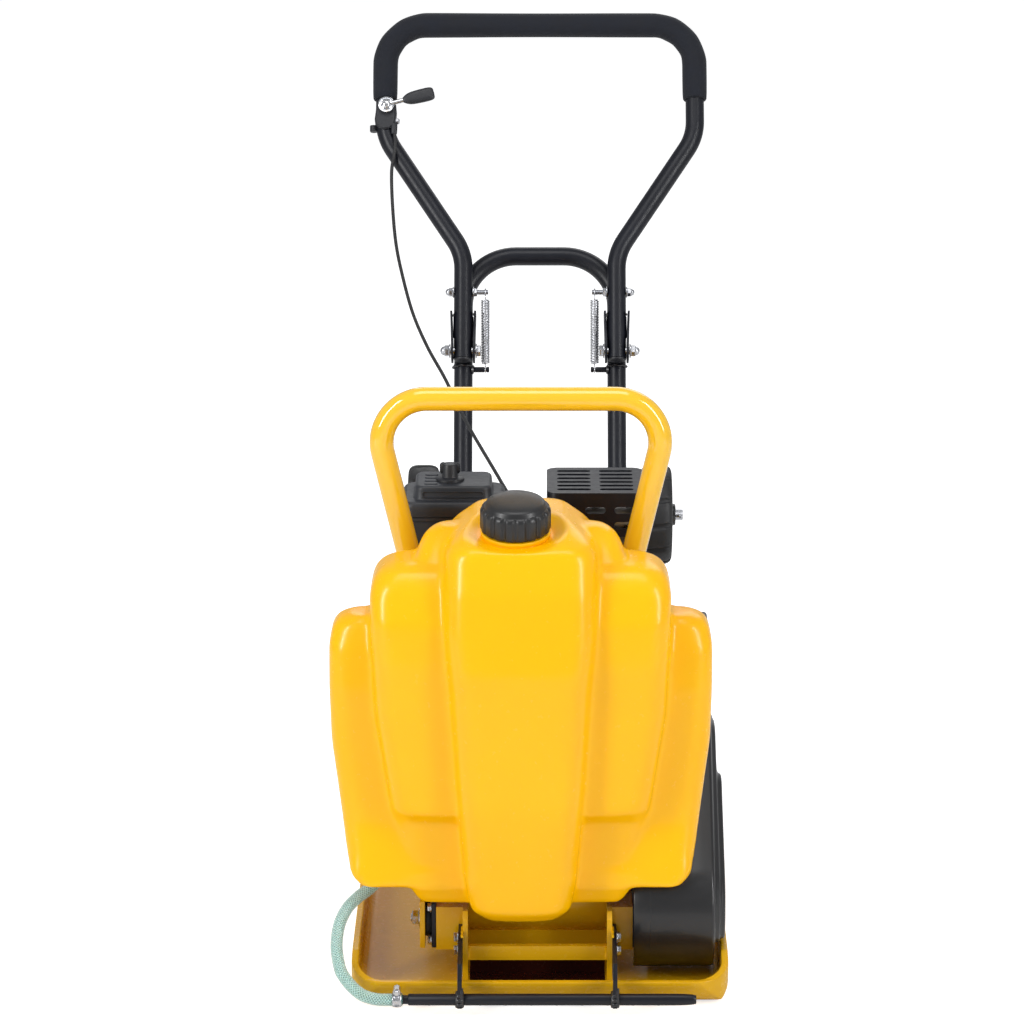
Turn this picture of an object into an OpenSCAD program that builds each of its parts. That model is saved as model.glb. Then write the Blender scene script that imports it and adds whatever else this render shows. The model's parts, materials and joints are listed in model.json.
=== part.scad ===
// Forward plate compactor: vibrating base plate, belt driven exciter, small petrol
// engine on a rubber mounted deck, front water tank with spray bar, roll bar,
// fold-down handle and swing-up transport wheels.
// Millimetres. Origin: middle of the sole on the ground. -Y is the front, +Z is up.

/* [Base plate] */
// length of the base plate, front to back
plate_len = 540; // [480:5:600]
// width of the base plate
plate_w = 434; // [380:2:480]
// thickness of the sole and walls
plate_t = 8; // [5:0.5:12]
// height of the side walls
wall_h = 50; // [35:1:70]
// height of the front and rear lips
lip_h = 34; // [25:1:50]
// plan radius of the four corners
corner_r = 44; // [20:1:90]
// radius that the outside of the side walls is rolled up with
side_roll = 24; // [12:1:30]

/* [Deck] */
// height of the deck's top face
deck_z = 200; // [180:1:230]
// thickness of the deck plate
deck_t = 6; // [4:0.5:10]

/* [Exciter] */
// outer radius of the exciter housing
exciter_r = 52; // [45:1:60]
// radius of the exciter shaft
shaft_r = 10; // [8:0.5:14]
// outer radius of the exciter pulley
pulley_r = 42; // [35:1:45]
// outer radius of the clutch drum
clutch_r = 40; // [35:1:45]

/* [Handle] */
// outer diameter of the handle tube
tube_d = 24; // [20:0.5:28]
// wall of the handle tube
tube_t = 2; // [1.5:0.5:3]
// outer diameter of the foam grip
grip_d = 32.4; // [30:0.2:36]
// lean of the handle, back from upright, in degrees
lean = 28.6; // [20:0.2:40]
// length from the fold pivot up to the grip
reach = 443; // [400:1:500]
// half spacing of the handle's lower legs
leg_x = 99; // [90:1:110]
// half width of the handle at the grip
grip_x = 202; // [180:1:220]

/* [Roll bar] */
// outer diameter of the roll bar tube
bar_d = 28; // [24:0.5:32]
// height of the top bar's centre
bar_z = 671; // [640:1:700]

/* [Wheels] */
// radius of a transport wheel
wheel_r = 64; // [55:1:75]

/* [Hidden] */
$fn = 48;
front = -plate_len / 2;
// sideways middle of the tank and the roll bar
tank_x = -22;
// exciter axis
ex_y = front + 145;
ex_z = 95;
// engine crank axis
cr_y = front + 360;
cr_z = 306;
// fold pivot of the handle
pv_y = front + 780;
pv_z = 594;
// lower handle tubes run this far behind the upper ones
leg_back = 30;
// wheel kit pivot and stored axle
kit_y = front + 622;
kit_z = 172;
axle_y = front + 735;
axle_z = 388;
// middles of the rubber mounts
iso_ys = [front + 100, front + 440];
iso_z = 75;
// half spacing of the engine's feet bolts
foot_x = 85;
// tank valve
valve_x = -186;
valve_y = front + 100;
valve_z = 158;
// running clearance on a turning radius
run_gap = 0.05;
steel = [0.10, 0.10, 0.12];
yellow = [0.86, 0.62, 0.08];
zinc = [0.70, 0.71, 0.73];
black = [0.06, 0.06, 0.07];
engine_grey = [0.23, 0.24, 0.27];
alloy = [0.62, 0.63, 0.65];

// rounded rectangle about the origin
module rrect(w, d, r) {
  square([w - 2 * r, d], center = true);
  square([w, d - 2 * r], center = true);
  for (sx = [-1, 1]) {
    for (sy = [-1, 1]) {
      translate([sx * (w / 2 - r), sy * (d / 2 - r)])
        circle(r);
    }
  }
}

// upright box with rounded plan corners, given by its limits
module rbox(x, y, z, r) {
  translate([(x[0] + x[1]) / 2, (y[0] + y[1]) / 2, z[0]])
    linear_extrude(z[1] - z[0])
      rrect(x[1] - x[0], y[1] - y[0], r);
}

// plain box given by its limits
module box(x, y, z) {
  translate([x[0], y[0], z[0]])
    cube([x[1] - x[0], y[1] - y[0], z[1] - z[0]]);
}

// cylinder along X from x0 to x1
module xcyl(x0, x1, y, z, r) {
  translate([x0, y, z])
    rotate([0, 90, 0])
      cylinder(h = x1 - x0, r = r);
}

// cylinder along Y from y0 to y1
module ycyl(y0, y1, x, z, r) {
  translate([x, y0, z])
    rotate([-90, 0, 0])
      cylinder(h = y1 - y0, r = r);
}

// side view outline of (y, z) points, made into a plate from x0 to x1
module side_plate(x0, x1) {
  translate([x0, 0, 0])
    rotate([90, 0, 90])
      linear_extrude(x1 - x0)
        children();
}

// front view outline of (x, z) points, made into a plate from y0 to y1
module front_plate(y0, y1) {
  translate([0, y1, 0])
    rotate([90, 0, 0])
      linear_extrude(y1 - y0)
        children();
}

// hexagon bolt head or nut along X, with its washer on the side of -dir
module xhex(x0, y, z, af, h, dir) {
  translate([x0, y, z])
    rotate([0, dir * 90, 0]) {
      cylinder(h = 1.6, r = af * 0.72);
      translate([0, 0, 1.6])
        cylinder(h = h, r = af * 0.577, $fn = 6);
    }
}

// hexagon bolt head or nut standing on a level face
module zhex(x, y, z0, af, h) {
  translate([x, y, z0]) {
    cylinder(h = 1.6, r = af * 0.72);
    translate([0, 0, 1.6])
      cylinder(h = h, r = af * 0.577, $fn = 6);
  }
}

// the rings of a bent tube: [x, y, heading] at each station, heading 90 is +Y.
// a step is [length] for a straight or [radius, angle] for a bend, + is left
function stations(steps, at, i = 0) =
  i == len(steps) ? [at] :
    let (st = steps[i])
    len(st) == 1 ?
      concat([at], stations(steps,
        [at[0] + st[0] * cos(at[2]), at[1] + st[0] * sin(at[2]), at[2]], i + 1))
    :
      let (
        n = ceil(abs(st[1]) / 8),
        g = st[1] > 0 ? 1 : -1,
        cx = at[0] - g * st[0] * sin(at[2]),
        cy = at[1] + g * st[0] * cos(at[2]),
        arc = [for (k = [0 : n]) let (h = at[2] + st[1] * k / n)
          [cx + g * st[0] * sin(h), cy - g * st[0] * cos(h), h]]
      )
      concat([for (k = [0 : n - 1]) arc[k]], stations(steps, arc[n], i + 1));

module run(steps, ro, ri) {
  raw = stations(steps, [0, 0, 90]);
  st = [for (i = [0 : len(raw) - 1])
    if (i == 0 || norm([raw[i][0] - raw[i - 1][0], raw[i][1] - raw[i - 1][1]]) > 0.01) raw[i]];
  m = len(st) - 1;
  q = 24;
  pts = [for (w = [ro, ri], i = [0 : m], j = [0 : q - 1])
    let (a = 360 * (j + 0.5) / q, h = st[i][2])
      [st[i][0] + w * cos(a) * sin(h), st[i][1] - w * cos(a) * cos(h), w * sin(a)]];
  o = (m + 1) * q;
  faces = concat(
    [for (i = [0 : m - 1], j = [0 : q - 1]) let (k = (j + 1) % q)
      [i * q + j, i * q + k, (i + 1) * q + k, (i + 1) * q + j]],
    [for (i = [0 : m - 1], j = [0 : q - 1]) let (k = (j + 1) % q)
      [o + i * q + k, o + i * q + j, o + (i + 1) * q + j, o + (i + 1) * q + k]],
    [for (j = [0 : q - 1]) let (k = (j + 1) % q) [k, j, o + j, o + k]],
    [for (j = [0 : q - 1]) let (k = (j + 1) % q)
      [m * q + j, m * q + k, o + m * q + k, o + m * q + j]]
  );
  polyhedron(pts, faces);
}

// frame of the handle: local X across, local Y up the leaning tube, origin at the pivot
module handle_frame() {
  translate([0, pv_y, pv_z])
    rotate([90 - lean, 0, 0])
      children();
}

// ---------- base plate and what is welded to it ----------
module tray(inset, up, roll) {
  l = plate_len - 2 * inset;
  w = plate_w - 2 * inset;
  r = 40 - inset;
  intersection() {
    translate([0, 0, up])
      linear_extrude(80)
        rrect(w, l, corner_r - inset);
    side_plate(-w / 2, w / 2)
      union() {
        translate([0, up + 60])
          square([l, 120 - 2 * r], center = true);
        translate([0, up + 60])
          square([l - 2 * r, 120], center = true);
        for (s = [-1, 1]) {
          translate([s * (l / 2 - r), up + r])
            circle(r);
        }
      }
    front_plate(-l / 2, l / 2)
      union() {
        translate([0, up + 60])
          square([w - 2 * roll, 120], center = true);
        translate([0, up + 60 + roll / 2])
          square([w, 120 - roll], center = true);
        for (s = [-1, 1]) {
          translate([s * (w / 2 - roll), up + roll])
            circle(roll);
        }
      }
  }
}

module base_plate() {
  color(yellow)
    difference() {
      tray(0, 0, side_roll);
      tray(plate_t, plate_t, 12);
      side_plate(-plate_w, plate_w)
        polygon([
          [front - 5, lip_h], [front + 10, lip_h], [front + 62, wall_h],
          [-front - 62, wall_h], [-front - 10, lip_h], [-front + 5, lip_h],
          [-front + 5, 130], [front - 5, 130]
        ]);
    }
}

module gusset(x0) {
  difference() {
    side_plate(x0, x0 + 6)
      polygon([
        [front + 46, 8], [front + 46, 92], [front + 54, 100],
        [front + 200, 100], [front + 330, 70], [front + 494, 70], [front + 494, 8]
      ]);
    xcyl(x0 - 1, x0 + 7, ex_y, ex_z, 18);
  }
}

module iso_box(xa, xb, y) {
  difference() {
    box([xa, xb], [y - 27, y + 27], [46, 98]);
    box([xa + 4, xb - 4], [y - 23, y + 30], [52, 92]);
    xcyl(xa - 1, xb + 1, y, iso_z, 17);
  }
}

module base_frame() {
  color(yellow)
    union() {
      gusset(-89);
      gusset(77);
      box([-83, 77], [front + 52, front + 60], [41, 58]);
      box([-83, 77], [front + 484, front + 492], [41, 58]);
      for (y = iso_ys) {
        iso_box(-120, -89, y);
        iso_box(83, 107, y);
      }
    }
}

module exciter_housing() {
  color(yellow)
    difference() {
      union() {
        xcyl(-83, 77, ex_y, ex_z, exciter_r);
        box([-83, 77], [ex_y - 46, ex_y + 46], [8, 60]);
        translate([-3, ex_y, ex_z + 48])
          cylinder(h = 7, r = 12);
      }
      xcyl(-70, 64, ex_y, ex_z, exciter_r - 9);
      xcyl(-84, 78, ex_y, ex_z, 23);
    }
}

module exciter_bearings() {
  color(alloy)
    for (x = [-82, 66]) {
      difference() {
        xcyl(x, x + 10, ex_y, ex_z, 23);
        xcyl(x - 1, x + 11, ex_y, ex_z, shaft_r + run_gap);
      }
    }
}

module exciter_shaft() {
  color(zinc)
    union() {
      xcyl(-82, 188, ex_y, ex_z, shaft_r);
      intersection() {
        xcyl(-52, 46, ex_y, ex_z, 38);
        box([-52, 46], [ex_y - 60, ex_y + 60], [ex_z - 60, ex_z - 2]);
      }
    }
}

// grooved pulley along X, groove in the middle
module vee_pulley(x0, x1, y, z, r, bore_r) {
  m = (x0 + x1) / 2;
  translate([0, y, z])
    rotate([0, 90, 0])
      rotate_extrude()
        polygon([
          [bore_r, x0], [r, x0], [r, m - 7], [r - 9, m - 4],
          [r - 9, m + 4], [r, m + 7], [r, x1], [bore_r, x1]
        ]);
}

module exciter_pulley() {
  color(steel)
    vee_pulley(152, 178, ex_y, ex_z, pulley_r, shaft_r);
}

module spray_bar() {
  color(steel)
    difference() {
      union() {
        xcyl(-150, 178, front - 18, 20, 6.75);
        xcyl(-168, -150, front - 18, 20, 5.2);
      }
      xcyl(-169, 160, front - 18, 20, 4.2);
      for (i = [0 : 9]) {
        translate([-126 + 29 * i, front - 18, 14])
          cylinder(h = 5, r = 1, center = true, $fn = 16);
      }
    }
}

module spray_brackets() {
  color(steel)
    for (x = [-94, 83]) {
      difference() {
        side_plate(x, x + 5)
          polygon([
            [front - 26, 12], [front - 26, 46], [front - 14, 62], [front + 46, 78],
            [front + 72, 78], [front + 72, 40], [front - 8, 40], [front - 10, 12]
          ]);
        xcyl(x - 1, x + 6, front - 18, 20, 7.05);
        for (z = [50, 66]) {
          xcyl(x - 1, x + 6, front + 60, z, 3.4);
        }
      }
    }
}

module hose_clamp() {
  color(zinc)
    union() {
      difference() {
        xcyl(-168, -158, front - 18, 20, 9);
        xcyl(-169, -157, front - 18, 20, 7.8);
      }
      box([-167, -159], [front - 24, front - 12], [28.4, 35]);
      ycyl(front - 29, front - 24, -163, 31.8, 3.4);
    }
}

module mount_flanges() {
  color(steel)
    for (y = iso_ys) {
      for (x = [-125.3, 107]) {
        difference() {
          box([x, x + 5.3], [y - 27, y + 27], [48, 102]);
          xcyl(x - 1, x + 7, y, iso_z, 17);
        }
      }
    }
}

module mount_rubbers() {
  color(black)
    for (y = iso_ys) {
      xcyl(-132.9, -125.5, y, iso_z, 21.4);
      xcyl(-125.5, -108, y, iso_z, 15.5);
      xcyl(112.5, 119.9, y, iso_z, 21.4);
      xcyl(96, 112.5, y, iso_z, 15.5);
    }
}

module base_bolts() {
  color(zinc)
    union() {
      for (z = [50, 66]) {
        xhex(-94, front + 60, z, 10, 4, -1);
        xhex(88, front + 60, z, 10, 4, 1);
      }
      for (y = iso_ys) {
        for (dy = [-20, 20]) {
          for (dz = [-20, 20]) {
            xhex(-125.3, y + dy, iso_z + dz, 9, 3.4, -1);
            xhex(112.3, y + dy, iso_z + dz, 9, 3.4, 1);
          }
        }
      }
    }
}

// ---------- deck ----------
// tangent outline round two circles in a side view, points are (y, z)
module loop_outline(y1, z1, r1, y2, z2, r2) {
  d = sqrt(pow(y2 - y1, 2) + pow(z2 - z1, 2));
  f = atan2(z2 - z1, y2 - y1);
  t = acos((r1 - r2) / d);
  translate([y1, z1])
    circle(r1);
  translate([y2, z2])
    circle(r2);
  polygon([
    [y1 + r1 * cos(f + t), z1 + r1 * sin(f + t)],
    [y1 + r1 * cos(f - t), z1 + r1 * sin(f - t)],
    [y2 + r2 * cos(f - t), z2 + r2 * sin(f - t)],
    [y2 + r2 * cos(f + t), z2 + r2 * sin(f + t)]
  ]);
}

module deck_flange(x0) {
  difference() {
    side_plate(x0, x0 + 6)
      polygon([
        [front + 75, 47], [front + 125, 47], [front + 168, 72], [front + 240, 120],
        [front + 380, 120], [front + 415, 47], [front + 465, 47], [front + 482, 120],
        [front + 592, 150], [front + 592, 195], [front + 160, 195], [front + 158, 148],
        [front + 75, 104]
      ]);
    xcyl(x0 - 1, x0 + 7, ex_y, ex_z, 17);
    for (y = iso_ys) {
      xcyl(x0 - 1, x0 + 7, y, iso_z, 5.3);
    }
  }
}

module deck_plate() {
  color(yellow)
    union() {
      box([-139, 126], [front + 158, front + 592], [deck_z - deck_t, deck_z]);
      box([-114, 114], [front + 590, front + 644], [deck_z - deck_t, deck_z]);
      deck_flange(-139);
      deck_flange(120);
      // ears for the wheel kit and for the handle legs
      for (s = [-1, 1]) {
        difference() {
          side_plate(s * 107 - 3, s * 107 + 3)
            polygon([
              [kit_y - 70, deck_z - 3], [kit_y - 13, kit_z - 8], [kit_y - 8, kit_z - 13],
              [kit_y + 8, kit_z - 13], [kit_y + 10, kit_z - 6], [kit_y + 10, deck_z - 3]
            ]);
          xcyl(s * 107 - 4, s * 107 + 4, kit_y, kit_z, 8 + run_gap);
        }
        for (q = [-1, 1]) {
          difference() {
            side_plate(s * leg_x + q * 14.3 - 1.8, s * leg_x + q * 14.3 + 1.8)
              polygon([
                [front + 586, deck_z - 1], [front + 600, 245], [front + 608, 254],
                [front + 634, 254], [front + 642, 245], [front + 642, deck_z - 1]
              ]);
            xcyl(s * leg_x + q * 14.3 - 3, s * leg_x + q * 14.3 + 3, front + 619, 236, 4.3);
          }
        }
      }
    }
}

// the same outline as one polygon, with a corner every 7.5 degrees
function loop_points(y1, z1, r1, y2, z2, r2) =
  let (
    d = sqrt(pow(y2 - y1, 2) + pow(z2 - z1, 2)),
    f = atan2(z2 - z1, y2 - y1),
    t = acos((r1 - r2) / d),
    n = 24
  )
  concat(
    [for (i = [0 : n]) let (a = f + t + (360 - 2 * t) * i / n)
      [y1 + r1 * cos(a), z1 + r1 * sin(a)]],
    [for (i = [0 : n]) let (a = f - t + 2 * t * i / n)
      [y2 + r2 * cos(a), z2 + r2 * sin(a)]]
  );

module guard_outline(front_r, rear_r) {
  polygon(loop_points(front + 122, 88, front_r, cr_y, cr_z, rear_r));
}

// the outer bulge, which gets lower and narrower towards the engine
// and whose flat underside stays above the side wall of the base plate
module bulge_outline(front_r, back, rear_r, low) {
  intersection() {
    polygon(loop_points(front + 122, 88, front_r, front + 122 + back, 88 + 0.917 * back, rear_r));
    translate([-300, low])
      square([700, 500]);
  }
}

module belt_guard() {
  color(black)
    difference() {
      union() {
        side_plate(126.4, 201.5)
          guard_outline(76, 60);
        side_plate(201.5, 208)
          bulge_outline(62, 145, 40, 56);
        side_plate(208, 214.5)
          bulge_outline(52, 96, 34, 56);
        intersection() {
          side_plate(108, 126.4)
            guard_outline(76, 60);
          box([107, 127], [front + 40, front + 100], [10, 150]);
        }
      }
      side_plate(107, 198.5)
        guard_outline(73, 57);
      side_plate(198.5, 205)
        bulge_outline(59, 145, 37, 59);
      side_plate(205, 211.5)
        bulge_outline(49, 96, 31, 59);
    }
}

module drive_belt() {
  color(black)
    difference() {
      side_plate(161, 169)
        loop_outline(ex_y, ex_z, pulley_r - 1, cr_y, cr_z, clutch_r - 1);
      side_plate(160, 170)
        loop_outline(ex_y, ex_z, pulley_r - 8, cr_y, cr_z, clutch_r - 8);
    }
}

// ---------- water tank ----------
// half outlines of the three tiers of lobes, (x from the middle, height)
lobe_mid = [[42, 98], [58, 112], [64, 150], [73, 267], [80, 378], [86, 440],
  [85, 528], [52, 556]];
lobe_side = [[112, 110], [124, 122], [135, 162], [148, 227], [165, 338], [170, 440],
  [169, 500], [160, 526], [134, 541]];
lobe_out = [[182, 131], [196, 143], [201, 172], [208, 225], [217, 296], [219, 360],
  [219, 400], [214, 452], [199, 469]];

module lobe(half, y0, y1) {
  n = len(half);
  translate([tank_x, 0, 0])
    front_plate(y0, y1)
      polygon(concat(half, [for (i = [0 : n - 1]) [-half[n - 1 - i][0], half[n - 1 - i][1]]]));
}

module tank_solid() {
  union() {
    intersection() {
      lobe(lobe_mid, front - 20, front + 200);
      side_plate(-300, 300)
        polygon([
          [front + 56, 90], [front + 22, 90], [front + 8, 110], [front - 6, 240],
          [front - 4, 400], [front + 12, 490], [front + 32, 535], [front + 60, 552],
          [front + 96, 556], [front + 200, 556], [front + 200, 480], [front + 150, 466],
          [front + 150, 155], [front + 56, 155]
        ]);
    }
    intersection() {
      lobe(lobe_side, front - 20, front + 150);
      side_plate(-300, 300)
        polygon([
          [front + 56, 90], [front + 34, 90], [front + 28, 130], [front + 14, 240],
          [front + 16, 400], [front + 30, 480], [front + 52, 524], [front + 84, 541],
          [front + 150, 541], [front + 150, 155], [front + 56, 155]
        ]);
    }
    intersection() {
      lobe(lobe_out, front - 20, front + 150);
      side_plate(-300, 300)
        polygon([
          [front + 54, 120], [front + 42, 120], [front + 40, 150], [front + 34, 240],
          [front + 36, 380], [front + 48, 440], [front + 68, 469],
          [front + 150, 469], [front + 150, 224], [front + 54, 136]
        ]);
    }
  }
}

// frame of the filler neck: local Z along the cap, leaning forward
module cap_frame() {
  translate([-27.6, front + 82, 552])
    rotate([10, 0, 0])
      children();
}

module water_tank() {
  color([1.0, 0.72, 0.06])
    difference() {
      union() {
        tank_solid();
        cap_frame()
          translate([0, 0, -14])
            cylinder(h = 32, r = 30);
      }
      translate([tank_x, front + 88, 330])
        scale(0.96)
          translate([-tank_x, -front - 88, -330])
            tank_solid();
      cap_frame()
        translate([0, 0, -30])
          cylinder(h = 60, r = 26);
      cap_frame()
        translate([0, 0, -2.8])
          difference() {
            cylinder(h = 22, r = 42.5);
            translate([0, 0, -1])
              cylinder(h = 24, r = 30);
          }
      translate([valve_x, valve_y, valve_z])
        cylinder(h = 50, r = 7);
    }
}

module cap_gasket() {
  color(black)
    cap_frame()
      translate([0, 0, 18.4])
        difference() {
          cylinder(h = 2.4, r = 30);
          translate([0, 0, -1])
            cylinder(h = 5, r = 20);
        }
}

module tank_cap() {
  color(black)
    cap_frame()
      difference() {
        union() {
          translate([0, 0, -2])
            linear_extrude(25)
              union() {
                circle(37);
                for (i = [0 : 17]) {
                  rotate(20 * i)
                    translate([36, 0])
                      circle(4, $fn = 24);
                }
              }
          translate([0, 0, 22])
            cylinder(h = 4, r = 36.5);
          translate([0, 0, 26])
            cylinder(h = 7, r1 = 36.5, r2 = 29);
        }
        translate([0, 0, -3])
          cylinder(h = 24.2, r = 31);
      }
}

// the valve hangs under the rear of the tank's left lobe, its tail points down
module tank_valve() {
  color([0.72, 0.60, 0.30])
    union() {
      translate([valve_x, valve_y, valve_z])
        cylinder(h = 30, r = 6.6);
      translate([valve_x, valve_y, valve_z])
        sphere(r = 10);
      translate([valve_x, valve_y, valve_z - 22])
        cylinder(h = 20, r = 5.2);
      xcyl(valve_x - 17, valve_x, valve_y, valve_z, 4);
    }
}

module valve_lever() {
  color([0.75, 0.08, 0.06])
    union() {
      xcyl(valve_x - 21.4, valve_x - 17.4, valve_y, valve_z, 6);
      box([valve_x - 21.4, valve_x - 18.4], [valve_y - 3, valve_y + 3], [valve_z - 34, valve_z]);
    }
}

// ---------- roll bar ----------
// inverted U in the XY plane, from the left foot; its legs spread towards the top
module roll_run() {
  a = 13.4;
  r = 52;
  low = 230;
  up = (bar_z - deck_z - low - 40 * sin(a) - r * sin(a) - r) / cos(a);
  top = 2 * (118 + 40 * (1 - cos(a)) + up * sin(a) - r * cos(a));
  run([[low], [40, a], [up], [r, -90 - a], [top], [r, -90 - a], [up], [40, a], [low]],
    bar_d / 2, bar_d / 2 - 2.5);
}

module roll_bar() {
  color(yellow)
    difference() {
      union() {
        translate([tank_x - 118, front + 200, deck_z])
          rotate([90, 0, 0])
            roll_run();
        for (s = [-1, 1]) {
          rbox([tank_x + s * 118 - 15, tank_x + s * 118 + 15], [front + 180, front + 250],
            [deck_z, deck_z + 6], 6);
        }
      }
      for (s = [-1, 1]) {
        translate([tank_x + s * 118, front + 234, deck_z - 1])
          cylinder(h = 9, r = 5.3);
      }
    }
}

// ---------- engine ----------
module crankcase() {
  color(engine_grey)
    difference() {
      union() {
        rbox([-74, 74], [front + 280, front + 432], [212, 372], 22);
        rbox([-96, 96], [front + 272, front + 448], [deck_z, 214], 14);
        xcyl(74, 92, cr_y, cr_z, 46);
        xcyl(-92, -74, cr_y, cr_z, 50);
      }
      xcyl(-66, 66, cr_y, cr_z, 48);
      xcyl(-93, 93, cr_y, cr_z, 14 + run_gap);
      head_frame()
        box([-100, 100], [-170, -92], [-60, 60]);
      for (sx = [-foot_x, foot_x]) {
        for (sy = [292, 430]) {
          translate([sx, front + sy, deck_z - 1])
            cylinder(h = 16, r = 4.5);
        }
      }
    }
}

// the cylinder leans forward: local -Y runs from the crank to the head
module head_frame() {
  translate([0, cr_y, cr_z])
    rotate([-25, 0, 0])
      children();
}

module cylinder_head() {
  color(alloy)
    head_frame()
      union() {
        box([-40, 40], [-150, -92], [-40, 40]);
        for (i = [0 : 7]) {
          rotate([90, 0, 0])
            translate([0, 0, 96 + 7.4 * i])
              linear_extrude(3)
                rrect(104, 96, 12);
        }
        rotate([90, 0, 0])
          translate([0, 0, 150])
            linear_extrude(26)
              rrect(82, 74, 14);
      }
}

module spark_plug() {
  color(black)
    head_frame()
      translate([30, -138, 50.6])
        rotate([0, 14, 0]) {
          cylinder(h = 9, r = 8);
          translate([0, 0, 8])
            cylinder(h = 20, r = 6.5);
        }
}

module crankshaft() {
  color(zinc)
    union() {
      xcyl(-96, 204 - 8, cr_y, cr_z, 10);
      xcyl(-90, 90, cr_y, cr_z, 14);
      intersection() {
        xcyl(-28, 28, cr_y, cr_z, 42);
        box([-28, 28], [cr_y - 50, cr_y + 8], [cr_z - 50, cr_z + 50]);
      }
    }
}

module clutch_hub() {
  color(steel)
    difference() {
      union() {
        xcyl(150, 186, cr_y, cr_z, 16);
        xcyl(181, 194, cr_y, cr_z, 24);
        for (a = [0, 120, 240]) {
          translate([181.5, cr_y, cr_z])
            rotate([a, 0, 0])
              rotate([0, 90, 0])
                rotate_extrude(angle = 104)
                  translate([20, 0])
                    square([13.4, 12]);
        }
      }
      xcyl(149, 196, cr_y, cr_z, 10);
    }
}

module clutch_drum() {
  color(steel)
    difference() {
      union() {
        vee_pulley(152, 178, cr_y, cr_z, clutch_r, 16 + run_gap);
        xcyl(178, 195.5, cr_y, cr_z, 37);
      }
      xcyl(180.5, 196, cr_y, cr_z, 34);
      xcyl(151, 196, cr_y, cr_z, 16 + run_gap);
    }
}

module recoil_housing() {
  color(black)
    difference() {
      union() {
        xcyl(-124, -92.4, cr_y, cr_z, 82);
        translate([-124, cr_y, cr_z])
          rotate([0, -90, 0])
            cylinder(h = 12, r1 = 82, r2 = 62);
        box([-122, -98], [cr_y + 40, cr_y + 92], [cr_z + 52, cr_z + 82]);
      }
      xcyl(-121, -92, cr_y, cr_z, 79);
      ycyl(cr_y + 38, cr_y + 93, -110, cr_z + 67, 2.2);
      for (a = [0 : 30 : 330]) {
        translate([-140, cr_y, cr_z])
          rotate([a, 0, 0])
            translate([0, 0, 48])
              rotate([0, 90, 0])
                cylinder(h = 30, r = 6, $fn = 24);
      }
    }
}

module pull_grip() {
  color(black)
    union() {
      rbox([-132, -88], [cr_y + 94, cr_y + 108], [cr_z + 60, cr_z + 76], 5);
      ycyl(cr_y + 92.6, cr_y + 96, -110, cr_z + 68, 5);
    }
}

module pull_rope() {
  color([0.8, 0.8, 0.78])
    ycyl(cr_y + 60, cr_y + 92.4, -110, cr_z + 67, 1.8);
}

module switch_box() {
  color(black)
    difference() {
      rbox([-118, -94], [cr_y - 106, cr_y - 81.8], [cr_z + 14, cr_z + 58], 4);
      box([-111, -101], [cr_y - 107, cr_y - 98], [cr_z + 24, cr_z + 48]);
    }
}

module switch_rocker() {
  color([0.7, 0.1, 0.08])
    union() {
      box([-110.6, -101.4], [cr_y - 108, cr_y - 104], [cr_z + 29, cr_z + 43]);
      xcyl(-110.6, -101.4, cr_y - 103, cr_z + 36, 3.6);
    }
}

module carburettor() {
  color(alloy)
    union() {
      rbox([-128, -80], [front + 276, front + 324], [404, 452], 8);
      xcyl(-80, -53, front + 292, 424, 15);
      translate([-104, front + 300, 392])
        cylinder(h = 14, r = 20);
    }
}

module fuel_lever() {
  color(black)
    union() {
      xcyl(-131.4, -128.4, front + 300, 420, 5);
      box([-131.4, -129], [front + 300, front + 326], [417, 423]);
    }
}

module air_box() {
  color(engine_grey)
    difference() {
      rbox([-160, -44], [front + 250, front + 348], [452, 516], 12);
      rbox([-155, -49], [front + 255, front + 343], [457, 517], 8);
    }
}

module air_lid() {
  color(engine_grey)
    union() {
      rbox([-162, -42], [front + 248, front + 350], [516.2, 534], 13);
      rbox([-148, -56], [front + 262, front + 338], [534, 550], 9);
      translate([-106, front + 294, 550])
        cylinder(h = 4, r = 17);
      translate([-106, front + 294, 554])
        cylinder(h = 14, r = 9);
      rbox([-120, -92], [front + 291, front + 297], [556, 574], 2.5);
    }
}

module muffler() {
  color(zinc)
    union() {
      translate([19, front + 312, 500])
        rotate([0, 90, 0])
          linear_extrude(92)
            rrect(66, 96, 30);
      translate([32, front + 288, 400])
        cylinder(h = 75, r = 13);
      translate([110, front + 312, 500])
        rotate([0, 90, 0])
          cylinder(h = 4, r = 9);
    }
}

module muffler_guard() {
  color(black)
    difference() {
      rbox([8, 122], [front + 252, front + 372], [456, 545], 14);
      rbox([10.4, 119.6], [front + 254.4, front + 369.6], [455, 542.6], 12);
      // slots over the top
      for (i = [0 : 5]) {
        for (x = [[20, 60], [70, 110]]) {
          rbox(x, [front + 266 + 17 * i, front + 274 + 17 * i], [540, 548], 3.9);
        }
      }
      // slots in the front, the back and the two ends
      for (z = [470, 488, 506, 524]) {
        for (x = [20, 54, 88]) {
          front_plate(front + 250, front + 374)
            translate([x + 11, z])
              rrect(24, 8, 3.9);
        }
        side_plate(6, 124)
          translate([front + 312, z])
            rrect(80, 8, 3.9);
      }
    }
}

module fuel_tank() {
  color(engine_grey)
    difference() {
      union() {
        rbox([-86, 96], [front + 436, front + 566], [372, 440], 24);
        rbox([-78, 88], [front + 444, front + 558], [364, 444], 20);
        translate([52, front + 500, 440])
          cylinder(h = 12, r = 21);
      }
      rbox([-74, 84], [front + 448, front + 554], [368, 440], 18);
      translate([52, front + 500, 430])
        cylinder(h = 30, r = 17);
    }
}

module fuel_cap() {
  color(black)
    translate([52, front + 500, 0])
      difference() {
        union() {
          translate([0, 0, 444.6])
            cylinder(h = 14, r = 27);
          translate([0, 0, 458])
            cylinder(h = 3, r = 22);
        }
        translate([0, 0, 444])
          cylinder(h = 9, r = 22);
      }
}

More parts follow.
